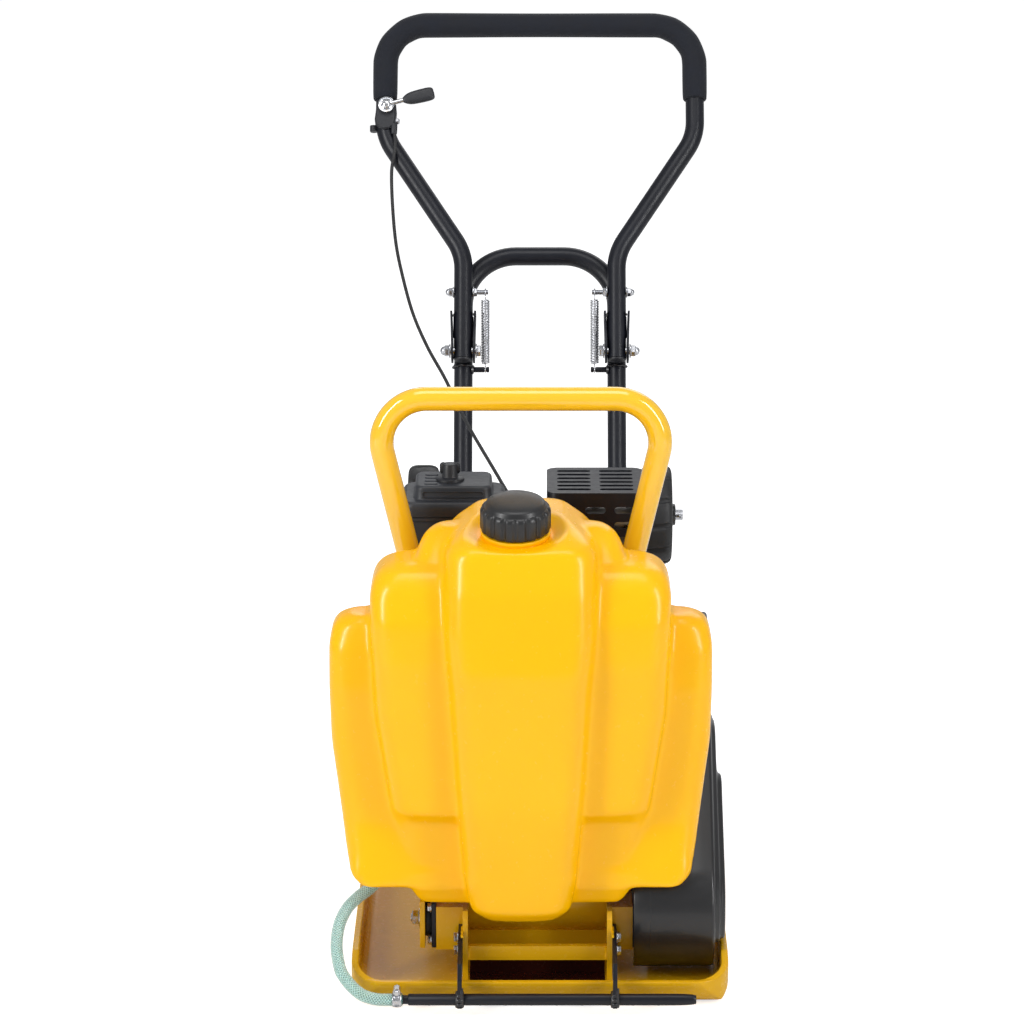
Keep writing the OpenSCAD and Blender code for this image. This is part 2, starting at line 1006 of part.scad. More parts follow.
module tank_stays() {
  color(steel)
    union() {
      box([-60, -40], [front + 432.2, front + 470], [330, 334]);
      box([-60, -40], [front + 466, front + 470], [330, 363.6]);
      box([44, 64], [front + 432.2, front + 470], [330, 334]);
      box([44, 64], [front + 466, front + 470], [330, 363.6]);
    }
}

module oil_plugs() {
  color([0.75, 0.55, 0.1])
    union() {
      ycyl(front + 432.2, front + 446, -40, 236, 11);
      ycyl(front + 446, front + 456, -40, 236, 7);
      ycyl(front + 432.2, front + 440, 40, 226, 8);
    }
}

module control_plate() {
  color(zinc)
    union() {
      box([-34, 17], [front + 290, front + 352], [412, 415]);
      translate([0, front + 300, 372])
        cylinder(h = 42, r = 6);
      translate([-34, front + 362 - 14, 415])
        cylinder(h = 10, r = 3);
      translate([6, front + 330, 414])
        cylinder(h = 10, r = 3);
    }
}

module throttle_arm() {
  color(zinc)
    difference() {
      union() {
        translate([6, front + 330, 416])
          cylinder(h = 3, r = 8);
        box([-28, 6], [front + 326, front + 334], [416, 419]);
        translate([-28, front + 330, 416])
          cylinder(h = 9, r = 4);
      }
      translate([6, front + 330, 414])
        cylinder(h = 8, r = 3 + run_gap);
    }
}

// ---------- round section swept along a route ----------
// smooth curve through the points of a route, n steps to a stretch
function curve_at(a, b, c, d, t) =
  0.5 * (2 * b + (c - a) * t + (2 * a - 5 * b + 4 * c - d) * t * t
    + (3 * b - a - 3 * c + d) * t * t * t);
function smooth(r, n) = let (m = len(r) - 1)
  [for (i = [0 : m - 1], k = [0 : n - 1])
    curve_at(r[max(i - 1, 0)], r[i], r[i + 1], r[min(i + 2, m)], k / n), r[m]];
function unit(v) = v / norm(v);

module sweep(path, radius, sides, ref) {
  m = len(path) - 1;
  dirs = [for (i = [0 : m]) unit(path[min(i + 1, m)] - path[max(i - 1, 0)])];
  pts = [for (i = [0 : m], j = [0 : sides - 1])
    let (u = unit(cross(dirs[i], ref)), v = cross(dirs[i], u), a = 360 * j / sides)
      path[i] + radius * (cos(a) * u + sin(a) * v)];
  faces = concat(
    [[for (j = [0 : sides - 1]) sides - 1 - j]],
    [for (i = [0 : m - 1], j = [0 : sides - 1])
      let (k = (j + 1) % sides)
        [i * sides + j, i * sides + k, (i + 1) * sides + k, (i + 1) * sides + j]],
    [[for (j = [0 : sides - 1]) m * sides + j]]
  );
  polyhedron(pts, faces);
}

// ---------- water hose ----------
hose_route = [
  [-186, -170, 135.4], [-186.2, -170.1, 130.4], [-189, -171.5, 121.5], [-197, -176.5, 113.5],
  [-210.5, -187, 106.5], [-223, -204, 98], [-231, -224.5, 85], [-233, -245, 67.1],
  [-228.7, -265, 49.8], [-223.2, -273.5, 41.6], [-215.8, -280, 34.3], [-208.3, -284, 28.5],
  [-200, -286.5, 24], [-186, -288, 20.5], [-168.6, -288, 20]
];
module water_hose() {
  color([0.55, 0.75, 0.72])
    sweep(smooth(hose_route, 4), 7.4, 12, [0, 1, 0]);
}

// ---------- handle ----------
module lower_handle() {
  color(steel)
    handle_frame()
      difference() {
        union() {
          translate([-leg_x, -418, -leg_back])
            run([[486], [68, -90], [2 * leg_x - 136], [68, -90], [486]],
              tube_d / 2, tube_d / 2 - tube_t);
          for (s = [-1, 1]) {
            for (q = [-1, 1]) {
              side_plate(s * leg_x + q * 14.5 - 1.7, s * leg_x + q * 14.5 + 1.7)
                polygon([
                  [2, -34], [-13, -16], [-13, 4], [-8, 11], [8, 11], [20, 7],
                  [40, 7], [51, 11], [53, -18], [40, -34]
                ]);
            }
            box([s * leg_x - 14, s * leg_x + 14], [22, 50], [-19, -12.8]);
            box([s * 77 - 12, s * 77 + 12], [-21.5, -14.5], [-31, -21]);
          }
        }
        for (s = [-1, 1]) {
          xcyl(s * leg_x - 18, s * leg_x + 18, 0, 0, 5.3);
          xcyl(s * leg_x - 18, s * leg_x + 18, -391.5, -leg_back, 4.3);
          translate([s * 70.5, -23.5, -24.5])
            rotate([-90, 0, 0])
              cylinder(h = 10, r = 1.8, $fn = 24);
        }
      }
}

module pivot_bolts() {
  color(zinc)
    handle_frame()
      for (s = [-1, 1]) {
        xcyl(s * leg_x - 17, s * leg_x + 17, 0, 0, 5);
        xhex(s * (leg_x + 16.3), 0, 0, 13, 6, s);
        xhex(s * (leg_x - 16.3), 0, 0, 13, 5, -s);
        translate([s * (leg_x + 23.5), 0, 0])
          sphere(r = 5.4);
      }
}

handle_steps = [
  [120.6], [70, 33], [147.7], [70, -33], [77.7], [55, -90], [2 * grip_x - 110],
  [55, -90], [77.7], [70, -33], [147.7], [70, 33], [120.6]
];
module upper_handle() {
  color(steel)
    handle_frame()
      difference() {
        translate([-leg_x, -10.4, 0])
          run(handle_steps, tube_d / 2, tube_d / 2 - tube_t);
        for (s = [-1, 1]) {
          xcyl(s * leg_x - 14, s * leg_x + 14, 0, 0, 5 + run_gap);
          xcyl(s * leg_x - 14, s * leg_x + 14, 78.5, 0, 3.7);
        }
      }
}

module foam_grip() {
  color(black)
    handle_frame()
      translate([-grip_x, 340, 0])
        run([[reach - 395], [55, -90], [2 * grip_x - 110], [55, -90], [reach - 395]],
          grip_d / 2, tube_d / 2 + 0.3);
}

module spring_pins() {
  color(zinc)
    handle_frame()
      for (s = [-1, 1]) {
        xcyl(s * 91.5 - 24.5, s * 91.5 + 24.5, 78.5, 0, 3.4);
        xhex(s * (leg_x + 12.2), 78.5, 0, 10, 5, s);
        xhex(s * (leg_x - 12.2), 78.5, 0, 10, 4, -s);
      }
}

// extension spring between its two eyes
module springs() {
  color(zinc)
    handle_frame()
      for (s = [-1, 1]) {
        a = [s * 70.5, 73, -1.2];
        b = [s * 70.5, -14.1, -23.4];
        ax = unit(b - a);
        u = [1, 0, 0];
        v = cross(ax, u);
        coil = [for (i = [0 : 144]) let (t = 360 * 18 * i / 144)
          a + ax * (7 + 76 * i / 144) + 5.1 * (cos(t) * u + sin(t) * v)];
        sweep(coil, 0.75, 5, ax + [0.001, 0, 0]);
      }
}

module throttle_clamp() {
  color(black)
    handle_frame()
      difference() {
        union() {
          rbox([-grip_x - 16, -grip_x + 17], [298, 337], [-14.5, 16.5], 6);
          translate([-grip_x - 15, 291, 0])
            rotate([-90, 0, 0])
              cylinder(h = 8, r = 5);
        }
        translate([-grip_x, 280, 0])
          rotate([-90, 0, 0])
            cylinder(h = 80, r = tube_d / 2 + 0.3);
        translate([-grip_x + 0.9, 290, 0])
          rotate([-90, 0, 0])
            cylinder(h = 20, r = tube_d / 2 + 1);
        translate([-grip_x + 2, 327, 10])
          cylinder(h = 8, r = 3 + run_gap);
      }
}

module throttle_lever() {
  color(zinc)
    handle_frame()
      translate([-grip_x + 2, 327, 0])
        union() {
          translate([0, 0, 12.5])
            cylinder(h = 6, r = 3);
          translate([0, 0, 17])
            cylinder(h = 5, r = 10.5);
          translate([0, 0, 22])
            cylinder(h = 3, r = 5.5);
          rotate([0, 0, 10])
            translate([9, 0, 19.5])
              rotate([0, 90, 0])
                cylinder(h = 20, r = 3);
          rotate([0, 0, 12])
            rbox([25, 63], [-5.5, 6.5], [17, 25], 5);
        }
}

cable_route = [
  [-190, 641.9, 860.8], [-188, 628.9, 843.5], [-189.5, 619.8, 828], [-192.5, 611.6, 807.4],
  [-191, 595, 767], [-186, 560, 726], [-177, 520, 693], [-162, 465, 654],
  [-142, 410, 622], [-119, 350, 596], [-99, 290, 570], [-82, 240, 551],
  [-49, 140, 521], [-36, 104, 505], [-29, 78, 476], [-28, 62, 445], [-28, 60, 426.5]
];
module throttle_cable() {
  color(black)
    sweep(smooth(cable_route, 4), 2.5, 8, [1, 0, 0]);
}

// ---------- transport wheels ----------
module wheel_frame() {
  color(steel)
    difference() {
      union() {
        xcyl(-123, 123, kit_y, kit_z, 8);
        for (s = [-1, 1]) {
          side_plate(s * 120 - 3, s * 120 + 3)
            polygon(loop_points(kit_y, kit_z, 13, axle_y, axle_z, 13));
        }
        translate([0, (kit_y + axle_y) / 2 + 10, (kit_z + axle_z) / 2 - 5])
          rotate([0, 90, 0])
            cylinder(h = 236, r = 6, center = true);
      }
      xcyl(-124, 124, axle_y, axle_z, 7.3);
    }
}

module wheel_axle() {
  color(zinc)
    union() {
      xcyl(-184, 184, axle_y, axle_z, 7);
      for (s = [-1, 1]) {
        translate([s * 180, axle_y - 13, axle_z])
          rotate([-90, 0, 0])
            cylinder(h = 26, r = 1.6, $fn = 24);
      }
    }
}

module wheel(s) {
  color(black)
    translate([s * 149.5, axle_y, axle_z])
      rotate([0, 90, 0])
        difference() {
          rotate_extrude()
            polygon([
              [7 + run_gap, -25], [14, -25], [14, -10], [38, -8], [44, -20],
              [56, -20], [62, -16], [wheel_r, -8], [wheel_r, 8], [62, 16],
              [56, 20], [44, 20], [38, 8], [14, 10], [14, 25], [7 + run_gap, 25]
            ]);
          for (a = [0 : 30 : 330]) {
            rotate([0, 0, a])
              translate([wheel_r + 1.5, 0, -20])
                cylinder(h = 40, r = 3.6, $fn = 24);
          }
        }
}

module wheel_left() {
  wheel(-1);
}

module wheel_right() {
  wheel(1);
}

// ---------- nuts and bolts of the deck ----------
module deck_bolts() {
  color(zinc)
    union() {
      // studs and nuts of the rubber mounts
      for (y = iso_ys) {
        xcyl(-150, -133.2, y, iso_z, 5);
        xhex(-139, y, iso_z, 15, 8, -1);
        xcyl(120.2, 137, y, iso_z, 5);
        xhex(126, y, iso_z, 15, 8, 1);
      }
      // roll bar feet
      for (s = [-1, 1]) {
        zhex(tank_x + s * 118, front + 234, deck_z + 6, 13, 7);
      }
      // engine feet
      for (sx = [-foot_x, foot_x]) {
        for (sy = [292, 430]) {
          zhex(sx, front + sy, 214, 12, 6);
        }
      }
      // handle feet
      for (s = [-1, 1]) {
        xcyl(s * leg_x - 17, s * leg_x + 17, front + 619, 236, 4);
        xhex(s * leg_x - 16.1, front + 619, 236, 11, 4.5, -1);
        xhex(s * leg_x + 16.1, front + 619, 236, 11, 4.5, 1);
      }
    }
}

base_plate();
base_frame();
exciter_housing();
exciter_bearings();
spray_bar();
spray_brackets();
hose_clamp();
mount_flanges();
mount_rubbers();
base_bolts();
water_hose();
exciter_shaft();
exciter_pulley();
deck_plate();
deck_bolts();
belt_guard();
drive_belt();
water_tank();
cap_gasket();
tank_cap();
tank_valve();
valve_lever();
roll_bar();
crankcase();
cylinder_head();
spark_plug();
crankshaft();
clutch_hub();
clutch_drum();
recoil_housing();
pull_grip();
pull_rope();
switch_box();
switch_rocker();
carburettor();
fuel_lever();
air_box();
air_lid();
muffler();
muffler_guard();
fuel_tank();
tank_stays();
fuel_cap();
oil_plugs();
control_plate();
throttle_arm();
lower_handle();
pivot_bolts();
upper_handle();
foam_grip();
spring_pins();
springs();
throttle_clamp();
throttle_lever();
throttle_cable();
wheel_frame();
wheel_axle();
wheel_left();
wheel_right();
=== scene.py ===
"""Visual model of a forward plate compactor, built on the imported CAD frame.

Metres, in the CAD's own frame: the sole stands on z = 0, -Y is the machine's front, +X is to the
right as seen from the front. The plate's front edge, the handle's pivot and the wheels' axle are read
from the frame; the other places repeat the CAD's millimetres, measured from these or from the origin.
"""
import json
import math

import bmesh
import bpy
from mathutils import Matrix, Vector


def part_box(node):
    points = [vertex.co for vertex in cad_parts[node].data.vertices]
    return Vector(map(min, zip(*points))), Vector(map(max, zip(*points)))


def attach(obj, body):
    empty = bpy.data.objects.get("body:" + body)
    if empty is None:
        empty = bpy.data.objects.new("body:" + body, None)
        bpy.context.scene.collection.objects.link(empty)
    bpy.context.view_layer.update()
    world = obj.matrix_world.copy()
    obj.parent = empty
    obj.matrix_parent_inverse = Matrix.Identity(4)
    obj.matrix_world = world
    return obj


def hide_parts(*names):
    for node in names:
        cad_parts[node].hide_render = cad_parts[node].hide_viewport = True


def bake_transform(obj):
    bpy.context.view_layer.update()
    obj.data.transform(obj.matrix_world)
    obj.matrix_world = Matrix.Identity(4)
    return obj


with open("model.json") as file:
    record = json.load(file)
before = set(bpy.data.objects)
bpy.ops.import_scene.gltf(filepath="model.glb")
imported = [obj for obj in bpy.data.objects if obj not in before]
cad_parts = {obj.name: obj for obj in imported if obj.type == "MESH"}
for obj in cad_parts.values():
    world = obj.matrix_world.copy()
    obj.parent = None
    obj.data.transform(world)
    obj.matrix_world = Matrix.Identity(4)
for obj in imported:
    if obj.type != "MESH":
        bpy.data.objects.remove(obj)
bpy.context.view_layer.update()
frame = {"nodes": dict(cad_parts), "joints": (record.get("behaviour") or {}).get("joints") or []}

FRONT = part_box("base_plate")[0].y          # y of the plate's front edge
LEAN = math.radians(28.6)                  # handle's lean back from upright
UP = Vector((0, math.sin(LEAN), math.cos(LEAN)))
OUT = Vector((0, -math.cos(LEAN), math.sin(LEAN)))
PIVOT = Vector(next(j for j in frame["joints"] if j["name"] == "handle_fold")["pos_m"])
MM = 0.001
ACROSS = Vector((1, 0, 0))
UPRIGHT = Vector((0, 0, 1))
MAT = {}
# bay under the exciter whose floor gets painted shade: x, distance behind the plate's front edge, and top
SHADE_BAY_X = (-0.0815, 0.0755)
SHADE_BAY_Y = (0.0085, 0.480)
SHADE_BAY_TOP = 0.034


# ---------------------------------------------------------------- materials
def nodes_of(name):
    """Makes a material, keeps it in MAT, and gives its node tree and its principled shader."""
    mat = bpy.data.materials.new(name)
    mat.use_nodes = True
    MAT[name] = mat
    return mat.node_tree, mat.node_tree.nodes["Principled BSDF"]


def link(tree, a, b):
    """Joins output a to input b."""
    tree.links.new(a, b)


def coords(tree, scale=(1, 1, 1)):
    """Object-space coordinates, so that a pattern keeps its real size."""
    tex = tree.nodes.new("ShaderNodeTexCoord")
    mapping = tree.nodes.new("ShaderNodeMapping")
    mapping.inputs["Scale"].default_value = scale
    link(tree, tex.outputs["Object"], mapping.inputs["Vector"])
    return mapping.outputs["Vector"]


def noise(tree, vec, scale, detail=4.0, rough=0.55):
    """Noise texture from 0 to 1; scale is in waves per metre."""
    node = tree.nodes.new("ShaderNodeTexNoise")
    node.inputs["Scale"].default_value = scale
    node.inputs["Detail"].default_value = detail
    node.inputs["Roughness"].default_value = rough
    link(tree, vec, node.inputs["Vector"])
    return node.outputs["Fac"]


def ramp(tree, fac, stops):
    """Colour ramp: stops are (position, colour)."""
    node = tree.nodes.new("ShaderNodeValToRGB")
    el = node.color_ramp.elements
    while len(el) < len(stops):
        el.new(0.5)
    for e, (pos, col) in zip(el, stops):
        e.position = pos
        e.color = (*col, 1) if len(col) == 3 else col
    link(tree, fac, node.inputs["Fac"])
    return node.outputs["Color"]


def mapped(tree, fac, low, high, a=0.3, b=0.7):
    """Stretches the range a to b of a value over low to high."""
    node = tree.nodes.new("ShaderNodeMapRange")
    node.inputs["From Min"].default_value = a
    node.inputs["From Max"].default_value = b
    node.inputs["To Min"].default_value = low
    node.inputs["To Max"].default_value = high
    link(tree, fac, node.inputs["Value"])
    return node.outputs["Result"]


def bump(tree, shader, heights):
    """Chains bumps: heights are (value, strength, distance)."""
    last = None
    for value, strength, distance in heights:
        node = tree.nodes.new("ShaderNodeBump")
        node.inputs["Strength"].default_value = strength
        node.inputs["Distance"].default_value = distance
        link(tree, value, node.inputs["Height"])
        if last is not None:
            link(tree, last, node.inputs["Normal"])
        last = node.outputs["Normal"]
    link(tree, last, shader.inputs["Normal"])


def shade(colour, k):
    """Colour made k times as bright."""
    return tuple(min(1.0, v * k) for v in colour)


def finish(name, colour, rough=0.4, spread=0.08, metal=0.0, coat=0.0, grain=900, grain_h=0.02,
           blotch=18, vary=0.12, wave=0.0, specular=0.5):
    """Paint, plastic or metal: base colour that drifts a little, uneven gloss and a fine grain."""
    tree, shader = nodes_of(name)
    vec = coords(tree)
    cloud = noise(tree, vec, blotch, 3)
    stops = [(0.3, shade(colour, 1 - vary)), (0.55, colour), (0.75, shade(colour, 1 + vary))]
    link(tree, ramp(tree, cloud, stops), shader.inputs["Base Color"])
    fine = noise(tree, vec, 140, 5, 0.6)
    link(tree, mapped(tree, fine, rough - spread, rough + spread), shader.inputs["Roughness"])
    shader.inputs["Metallic"].default_value = metal
    shader.inputs["Coat Weight"].default_value = coat
    shader.inputs["Coat Roughness"].default_value = 0.08
    shader.inputs["Specular IOR Level"].default_value = specular
    heights = [(noise(tree, vec, grain, 3, 0.5), grain_h * 10, 0.0002)]
    if wave > 0:
        heights.append((noise(tree, vec, 60, 2, 0.4), wave, 0.001))
    bump(tree, shader, heights)


def paint_bay_shade(name, colour):
    """Painted shade: a dark tone on the plate's floor in the bay under the exciter, where shade falls.

    Whether it is paint or only shadow there can't be told. The bay is a box in object coordinates.
    """
    tree = MAT[name].node_tree
    shader = tree.nodes["Principled BSDF"]
    tex = tree.nodes.new("ShaderNodeTexCoord")
    split = tree.nodes.new("ShaderNodeSeparateXYZ")
    link(tree, tex.outputs["Object"], split.inputs["Vector"])
    limits = (("X", SHADE_BAY_X[0], SHADE_BAY_X[1]), ("Y", FRONT + SHADE_BAY_Y[0], FRONT + SHADE_BAY_Y[1]), ("Z", -1.0, SHADE_BAY_TOP))
    mask = None
    for axis, low, high in limits:
        for way, edge in (("GREATER_THAN", low), ("LESS_THAN", high)):
            test = tree.nodes.new("ShaderNodeMath")
            test.operation = way
            link(tree, split.outputs[axis], test.inputs[0])
            test.inputs[1].default_value = edge
            if mask is None:
                mask = test.outputs["Value"]
                continue
            both = tree.nodes.new("ShaderNodeMath")
            both.operation = "MULTIPLY"
            link(tree, mask, both.inputs[0])
            link(tree, test.outputs["Value"], both.inputs[1])
            mask = both.outputs["Value"]
    mix = tree.nodes.new("ShaderNodeMix")
    mix.data_type = "RGBA"
    link(tree, mask, mix.inputs["Factor"])
    link(tree, shader.inputs["Base Color"].links[0].from_socket, mix.inputs[6])
    mix.inputs[7].default_value = (*colour, 1)
    link(tree, mix.outputs[2], shader.inputs["Base Color"])


def make_materials():
    """Every material of the machine, each under its own name in MAT."""
    finish("yellow_paint", (0.68, 0.37, 0.004), 0.26, 0.03, coat=0.15, grain=500, grain_h=0.0015,
           blotch=9, vary=0.06, wave=0.02, specular=0.22)
    # painted shade: dark maroon on the plate's floor in the bay under the exciter, where shade falls
    paint_bay_shade("yellow_paint", (0.045, 0.008, 0.004))
    finish("bar_paint", (0.92, 0.53, 0.014), 0.12, 0.03, coat=1.0, grain=500, grain_h=0.004, blotch=9,
           vary=0.04, wave=0.03)
    finish("tank_plastic", (1.0, 0.505, 0.0), 0.25, 0.03, coat=0.08, specular=0.34, grain=1300,
           grain_h=0.015, blotch=6, vary=0.03, wave=0.06)
    tank = MAT["tank_plastic"].node_tree.nodes["Principled BSDF"]
    tank.inputs["Subsurface Weight"].default_value = 0.06
    tank.inputs["Subsurface Scale"].default_value = 0.01
    tank.inputs["Subsurface Radius"].default_value = (1.0, 0.45, 0.05)
    finish("black_steel", (0.006, 0.007, 0.012), 0.36, 0.05, grain=500, grain_h=0.001, blotch=14,
           vary=0.2, wave=0.02, specular=0.35)
    finish("guard_steel", (0.012, 0.012, 0.013), 0.32, 0.04, coat=0.15, grain=400, grain_h=0.001,
           blotch=8, vary=0.15, wave=0.03)
    finish("zinc", (0.62, 0.63, 0.66), 0.27, 0.09, metal=1.0, grain=500, grain_h=0.01, blotch=70,
           vary=0.14)
    finish("chrome", (0.80, 0.81, 0.83), 0.10, 0.04, metal=1.0, grain=500, grain_h=0.004, blotch=70,
           vary=0.06)
    finish("cast_alloy", (0.50, 0.51, 0.53), 0.48, 0.08, metal=0.85, grain=420, grain_h=0.07, blotch=40,
           vary=0.12)
    finish("iron", (0.14, 0.14, 0.145), 0.5, 0.1, metal=0.7, grain=420, grain_h=0.06, blotch=50, vary=0.2)
    finish("engine_grey", (0.030, 0.033, 0.040), 0.42, 0.05, grain=420, grain_h=0.012, blotch=30,
           vary=0.15, specular=0.4)
    finish("black_plastic", (0.010, 0.010, 0.011), 0.20, 0.07, coat=0.25, grain=1200, grain_h=0.01,
           blotch=20, vary=0.25, wave=0.12)
    finish("dull_plastic", (0.012, 0.013, 0.017), 0.45, 0.06, grain=900, grain_h=0.015, blotch=20,
           vary=0.12)
    finish("cap_plastic", (0.018, 0.018, 0.019), 0.34, 0.05, grain=900, grain_h=0.015, blotch=30,
           vary=0.2)
    finish("rubber", (0.016, 0.016, 0.017), 0.62, 0.1, grain=900, grain_h=0.05, blotch=40, vary=0.25)
    finish("tyre_rubber", (0.014, 0.014, 0.015), 0.55, 0.1, grain=700, grain_h=0.06, blotch=30, vary=0.3)
    finish("brass", (0.66, 0.48, 0.22), 0.3, 0.08, metal=1.0, grain=500, grain_h=0.02, blotch=60,
           vary=0.15)
    finish("red_plastic", (0.60, 0.02, 0.015), 0.35, 0.06, grain=1100, grain_h=0.02, blotch=40, vary=0.12)
    finish("oil_cap", (0.70, 0.42, 0.02), 0.4, 0.06, grain=1100, grain_h=0.02, blotch=40, vary=0.12)
    finish("rope", (0.62, 0.60, 0.54), 0.8, 0.1, grain=1600, grain_h=0.2, blotch=300, vary=0.25)
    finish("weld", (0.010, 0.010, 0.013), 0.35, 0.1, coat=0.3, grain=260, grain_h=0.12, blotch=30,
           vary=0.3)
    finish("muffler_steel", (0.46, 0.44, 0.42), 0.34, 0.12, metal=1.0, grain=300, grain_h=0.03, blotch=22,
           vary=0.25)
    foam_material()
    hose_material()
    finish("braid", (0.86, 0.92, 0.90), 0.5, 0.1, grain=1500, grain_h=0.05, blotch=200, vary=0.1)


def foam_material():
    """Closed-cell foam: dull, with small pits."""
    tree, shader = nodes_of("foam")
    vec = coords(tree)
    cell = tree.nodes.new("ShaderNodeTexVoronoi")
    cell.inputs["Scale"].default_value = 1400
    link(tree, vec, cell.inputs["Vector"])
    cloud = noise(tree, vec, 60, 4)
    col = ramp(tree, cloud, [(0.3, (0.006, 0.0072, 0.012)), (0.7, (0.011, 0.013, 0.020))])
    link(tree, col, shader.inputs["Base Color"])
    link(tree, mapped(tree, cloud, 0.72, 0.9), shader.inputs["Roughness"])
    shader.inputs["Sheen Weight"].default_value = 0.08
    shader.inputs["Specular IOR Level"].default_value = 0.3
    bump(tree, shader, [(cell.outputs["Distance"], 0.35, 0.0003), (noise(tree, vec, 500, 4), 0.3, 0.0004)])


def hose_material():
    """Clear, slightly green flexible tube."""
    tree, shader = nodes_of("clear_hose")
    vec = coords(tree)
    cloud = noise(tree, vec, 40, 3)
    col = ramp(tree, cloud, [(0.3, (0.30, 0.66, 0.60)), (0.7, (0.42, 0.74, 0.68))])
    link(tree, col, shader.inputs["Base Color"])
    link(tree, mapped(tree, noise(tree, vec, 200, 3), 0.10, 0.24), shader.inputs["Roughness"])
    shader.inputs["Transmission Weight"].default_value = 0.5
    shader.inputs["Alpha"].default_value = 0.42
    shader.inputs["IOR"].default_value = 1.2
    shader.inputs["Coat Weight"].default_value = 0.4
    bump(tree, shader, [(noise(tree, vec, 300, 3), 0.15, 0.0004)])


make_materials()


# ---------------------------------------------------------------- mesh helpers
def new_object(name, bm, mat, smooth=40):
    """Turns the bmesh into a piece of the scene, smooth below the angle."""
    mesh = bpy.data.meshes.new(name)
    bmesh.ops.recalc_face_normals(bm, faces=bm.faces)
    bm.to_mesh(mesh)
    bm.free()
    obj = bpy.data.objects.new(name, mesh)
    bpy.context.scene.collection.objects.link(obj)
    mesh.materials.append(MAT[mat])
    soften(obj, smooth)
    return obj


def soften(obj, angle=40):
    """Smooth shading with sharp edges kept above that angle."""
    mesh = obj.data
    mesh.shade_smooth()
    mesh.set_sharp_from_angle(angle=math.radians(angle))


def modifier(obj, kind, **values):
    """Adds a modifier with these settings."""
    mod = obj.modifiers.new(kind.lower(), kind)
    for key, value in values.items():
        setattr(mod, key, value)


def bevel(obj, width, segments=3, angle=35):
    """Rounds the edges that are sharper than the angle."""
    modifier(obj, "BEVEL", width=width, segments=segments, limit_method="ANGLE",
             angle_limit=math.radians(angle), harden_normals=False)


def settle(obj):
    """Applies the modifiers, so that the piece is plain mesh."""
    deps = bpy.context.evaluated_depsgraph_get()
    mesh = bpy.data.meshes.new_from_object(obj.evaluated_get(deps))
    obj.modifiers.clear()
    old = obj.data
    obj.data = mesh
    bpy.data.meshes.remove(old)


def rings(bm, loops, closed=False, caps=True):
    """Skins a list of point loops that all have the same count."""
    made = [[bm.verts.new(p) for p in loop] for loop in loops]
    n = len(made[0])
    span = len(made) if closed else len(made) - 1
    for i in range(span):
        a, b = made[i], made[(i + 1) % len(made)]
        for j in range(n):
            k = (j + 1) % n
            bm.faces.new((a[j], a[k], b[k], b[j]))
    if caps and not closed:
        bm.faces.new(list(reversed(made[0])))
        bm.faces.new(made[-1])


def frame_along(path, ref=Vector((0, 0, 1))):
    """Turning-free frames along a list of points: (point, side, up, heading)."""
    out = []
    n = len(path)
    side = None
    for i, p in enumerate(path):
        t = (path[min(i + 1, n - 1)] - path[max(i - 1, 0)]).normalized()
        if side is None:
            side = t.cross(ref)
            if side.length < 1e-4:
                side = t.cross(ACROSS)
            side.normalize()
        else:
            side = (side - t * side.dot(t)).normalized()
        out.append((p, side, t.cross(side), t))
    return out


def circle(centre, u, v, radius, count):
    """Points round a circle in the plane of u and v."""
    return [centre + (u * math.cos(a) + v * math.sin(a)) * radius
            for a in (2 * math.pi * j / count for j in range(count))]


def run_length(path):
    """Length of a path, point to point."""
    return sum((b - a).length for a, b in zip(path, path[1:]))


def tube(bm, path, radius, sides=20, inner=None):
    """Round tube along a path. radius may be a function of the share of the length run."""
    frames = frame_along(path)
    total = run_length(path)
    run = 0.0
    loops = []
    for i, (p, u, v, _) in enumerate(frames):
        if i:
            run += (path[i] - path[i - 1]).length
        r = radius(run / total) if callable(radius) else radius
        loops.append(circle(p, u, v, r, sides))
    if inner is None:
        rings(bm, loops)
        return
    bore = [circle(p, u, v, inner, sides) for p, u, v, _ in reversed(frames)]
    rings(bm, loops + bore, closed=True)


def lathe(bm, profile, origin, axis, segments=32):
    """Turns (radius, height) points about an axis through origin."""
    axis = axis.normalized()
    u = axis.orthogonal().normalized()
    v = axis.cross(u)
    columns = []
    for i in range(segments):
        a = 2 * math.pi * i / segments
        d = u * math.cos(a) + v * math.sin(a)
        columns.append([bm.verts.new(origin + axis * h + d * r) for r, h in profile])
    for i in range(segments):
        a, b = columns[i], columns[(i + 1) % segments]
        for j in range(len(profile) - 1):
            bm.faces.new((a[j], b[j], b[j + 1], a[j + 1]))
    bmesh.ops.remove_doubles(bm, verts=[x for c in columns for x in c], dist=1e-6)


def block(bm, lo, hi, matrix=None):
    """Box between two corners."""
    made = bmesh.ops.create_cube(bm, size=1)["verts"]
    lo, hi = Vector(lo), Vector(hi)
    for v in made:
        v.co = Vector((lo[i] + (v.co[i] + 0.5) * (hi[i] - lo[i]) for i in range(3)))
        if matrix is not None:
            v.co = matrix @ v.co


def slab(bm, outline, a, b, place):
    """Extrudes a flat outline of (p, q) points from a to b; place(p, q, h) gives the point."""
    low = [bm.verts.new(place(p, q, a)) for p, q in outline]
    high = [bm.verts.new(place(p, q, b)) for p, q in outline]
    n = len(outline)
    for i in range(n):
        k = (i + 1) % n
        bm.faces.new((low[i], low[k], high[k], high[i]))
    bm.faces.new(list(reversed(low)))
    bm.faces.new(high)


def round_rect(w, h, r, steps=5, cx=0.0, cy=0.0):
    """Outline of a rectangle with round corners."""
    pts = []
    for sx, sy, a0 in ((1, 1, 0), (-1, 1, 90), (-1, -1, 180), (1, -1, 270)):
        for i in range(steps + 1):
            a = math.radians(a0 + 90 * i / steps)
            pts.append((cx + sx * (w / 2 - r) + r * math.cos(a), cy + sy * (h / 2 - r) + r * math.sin(a)))
    return pts


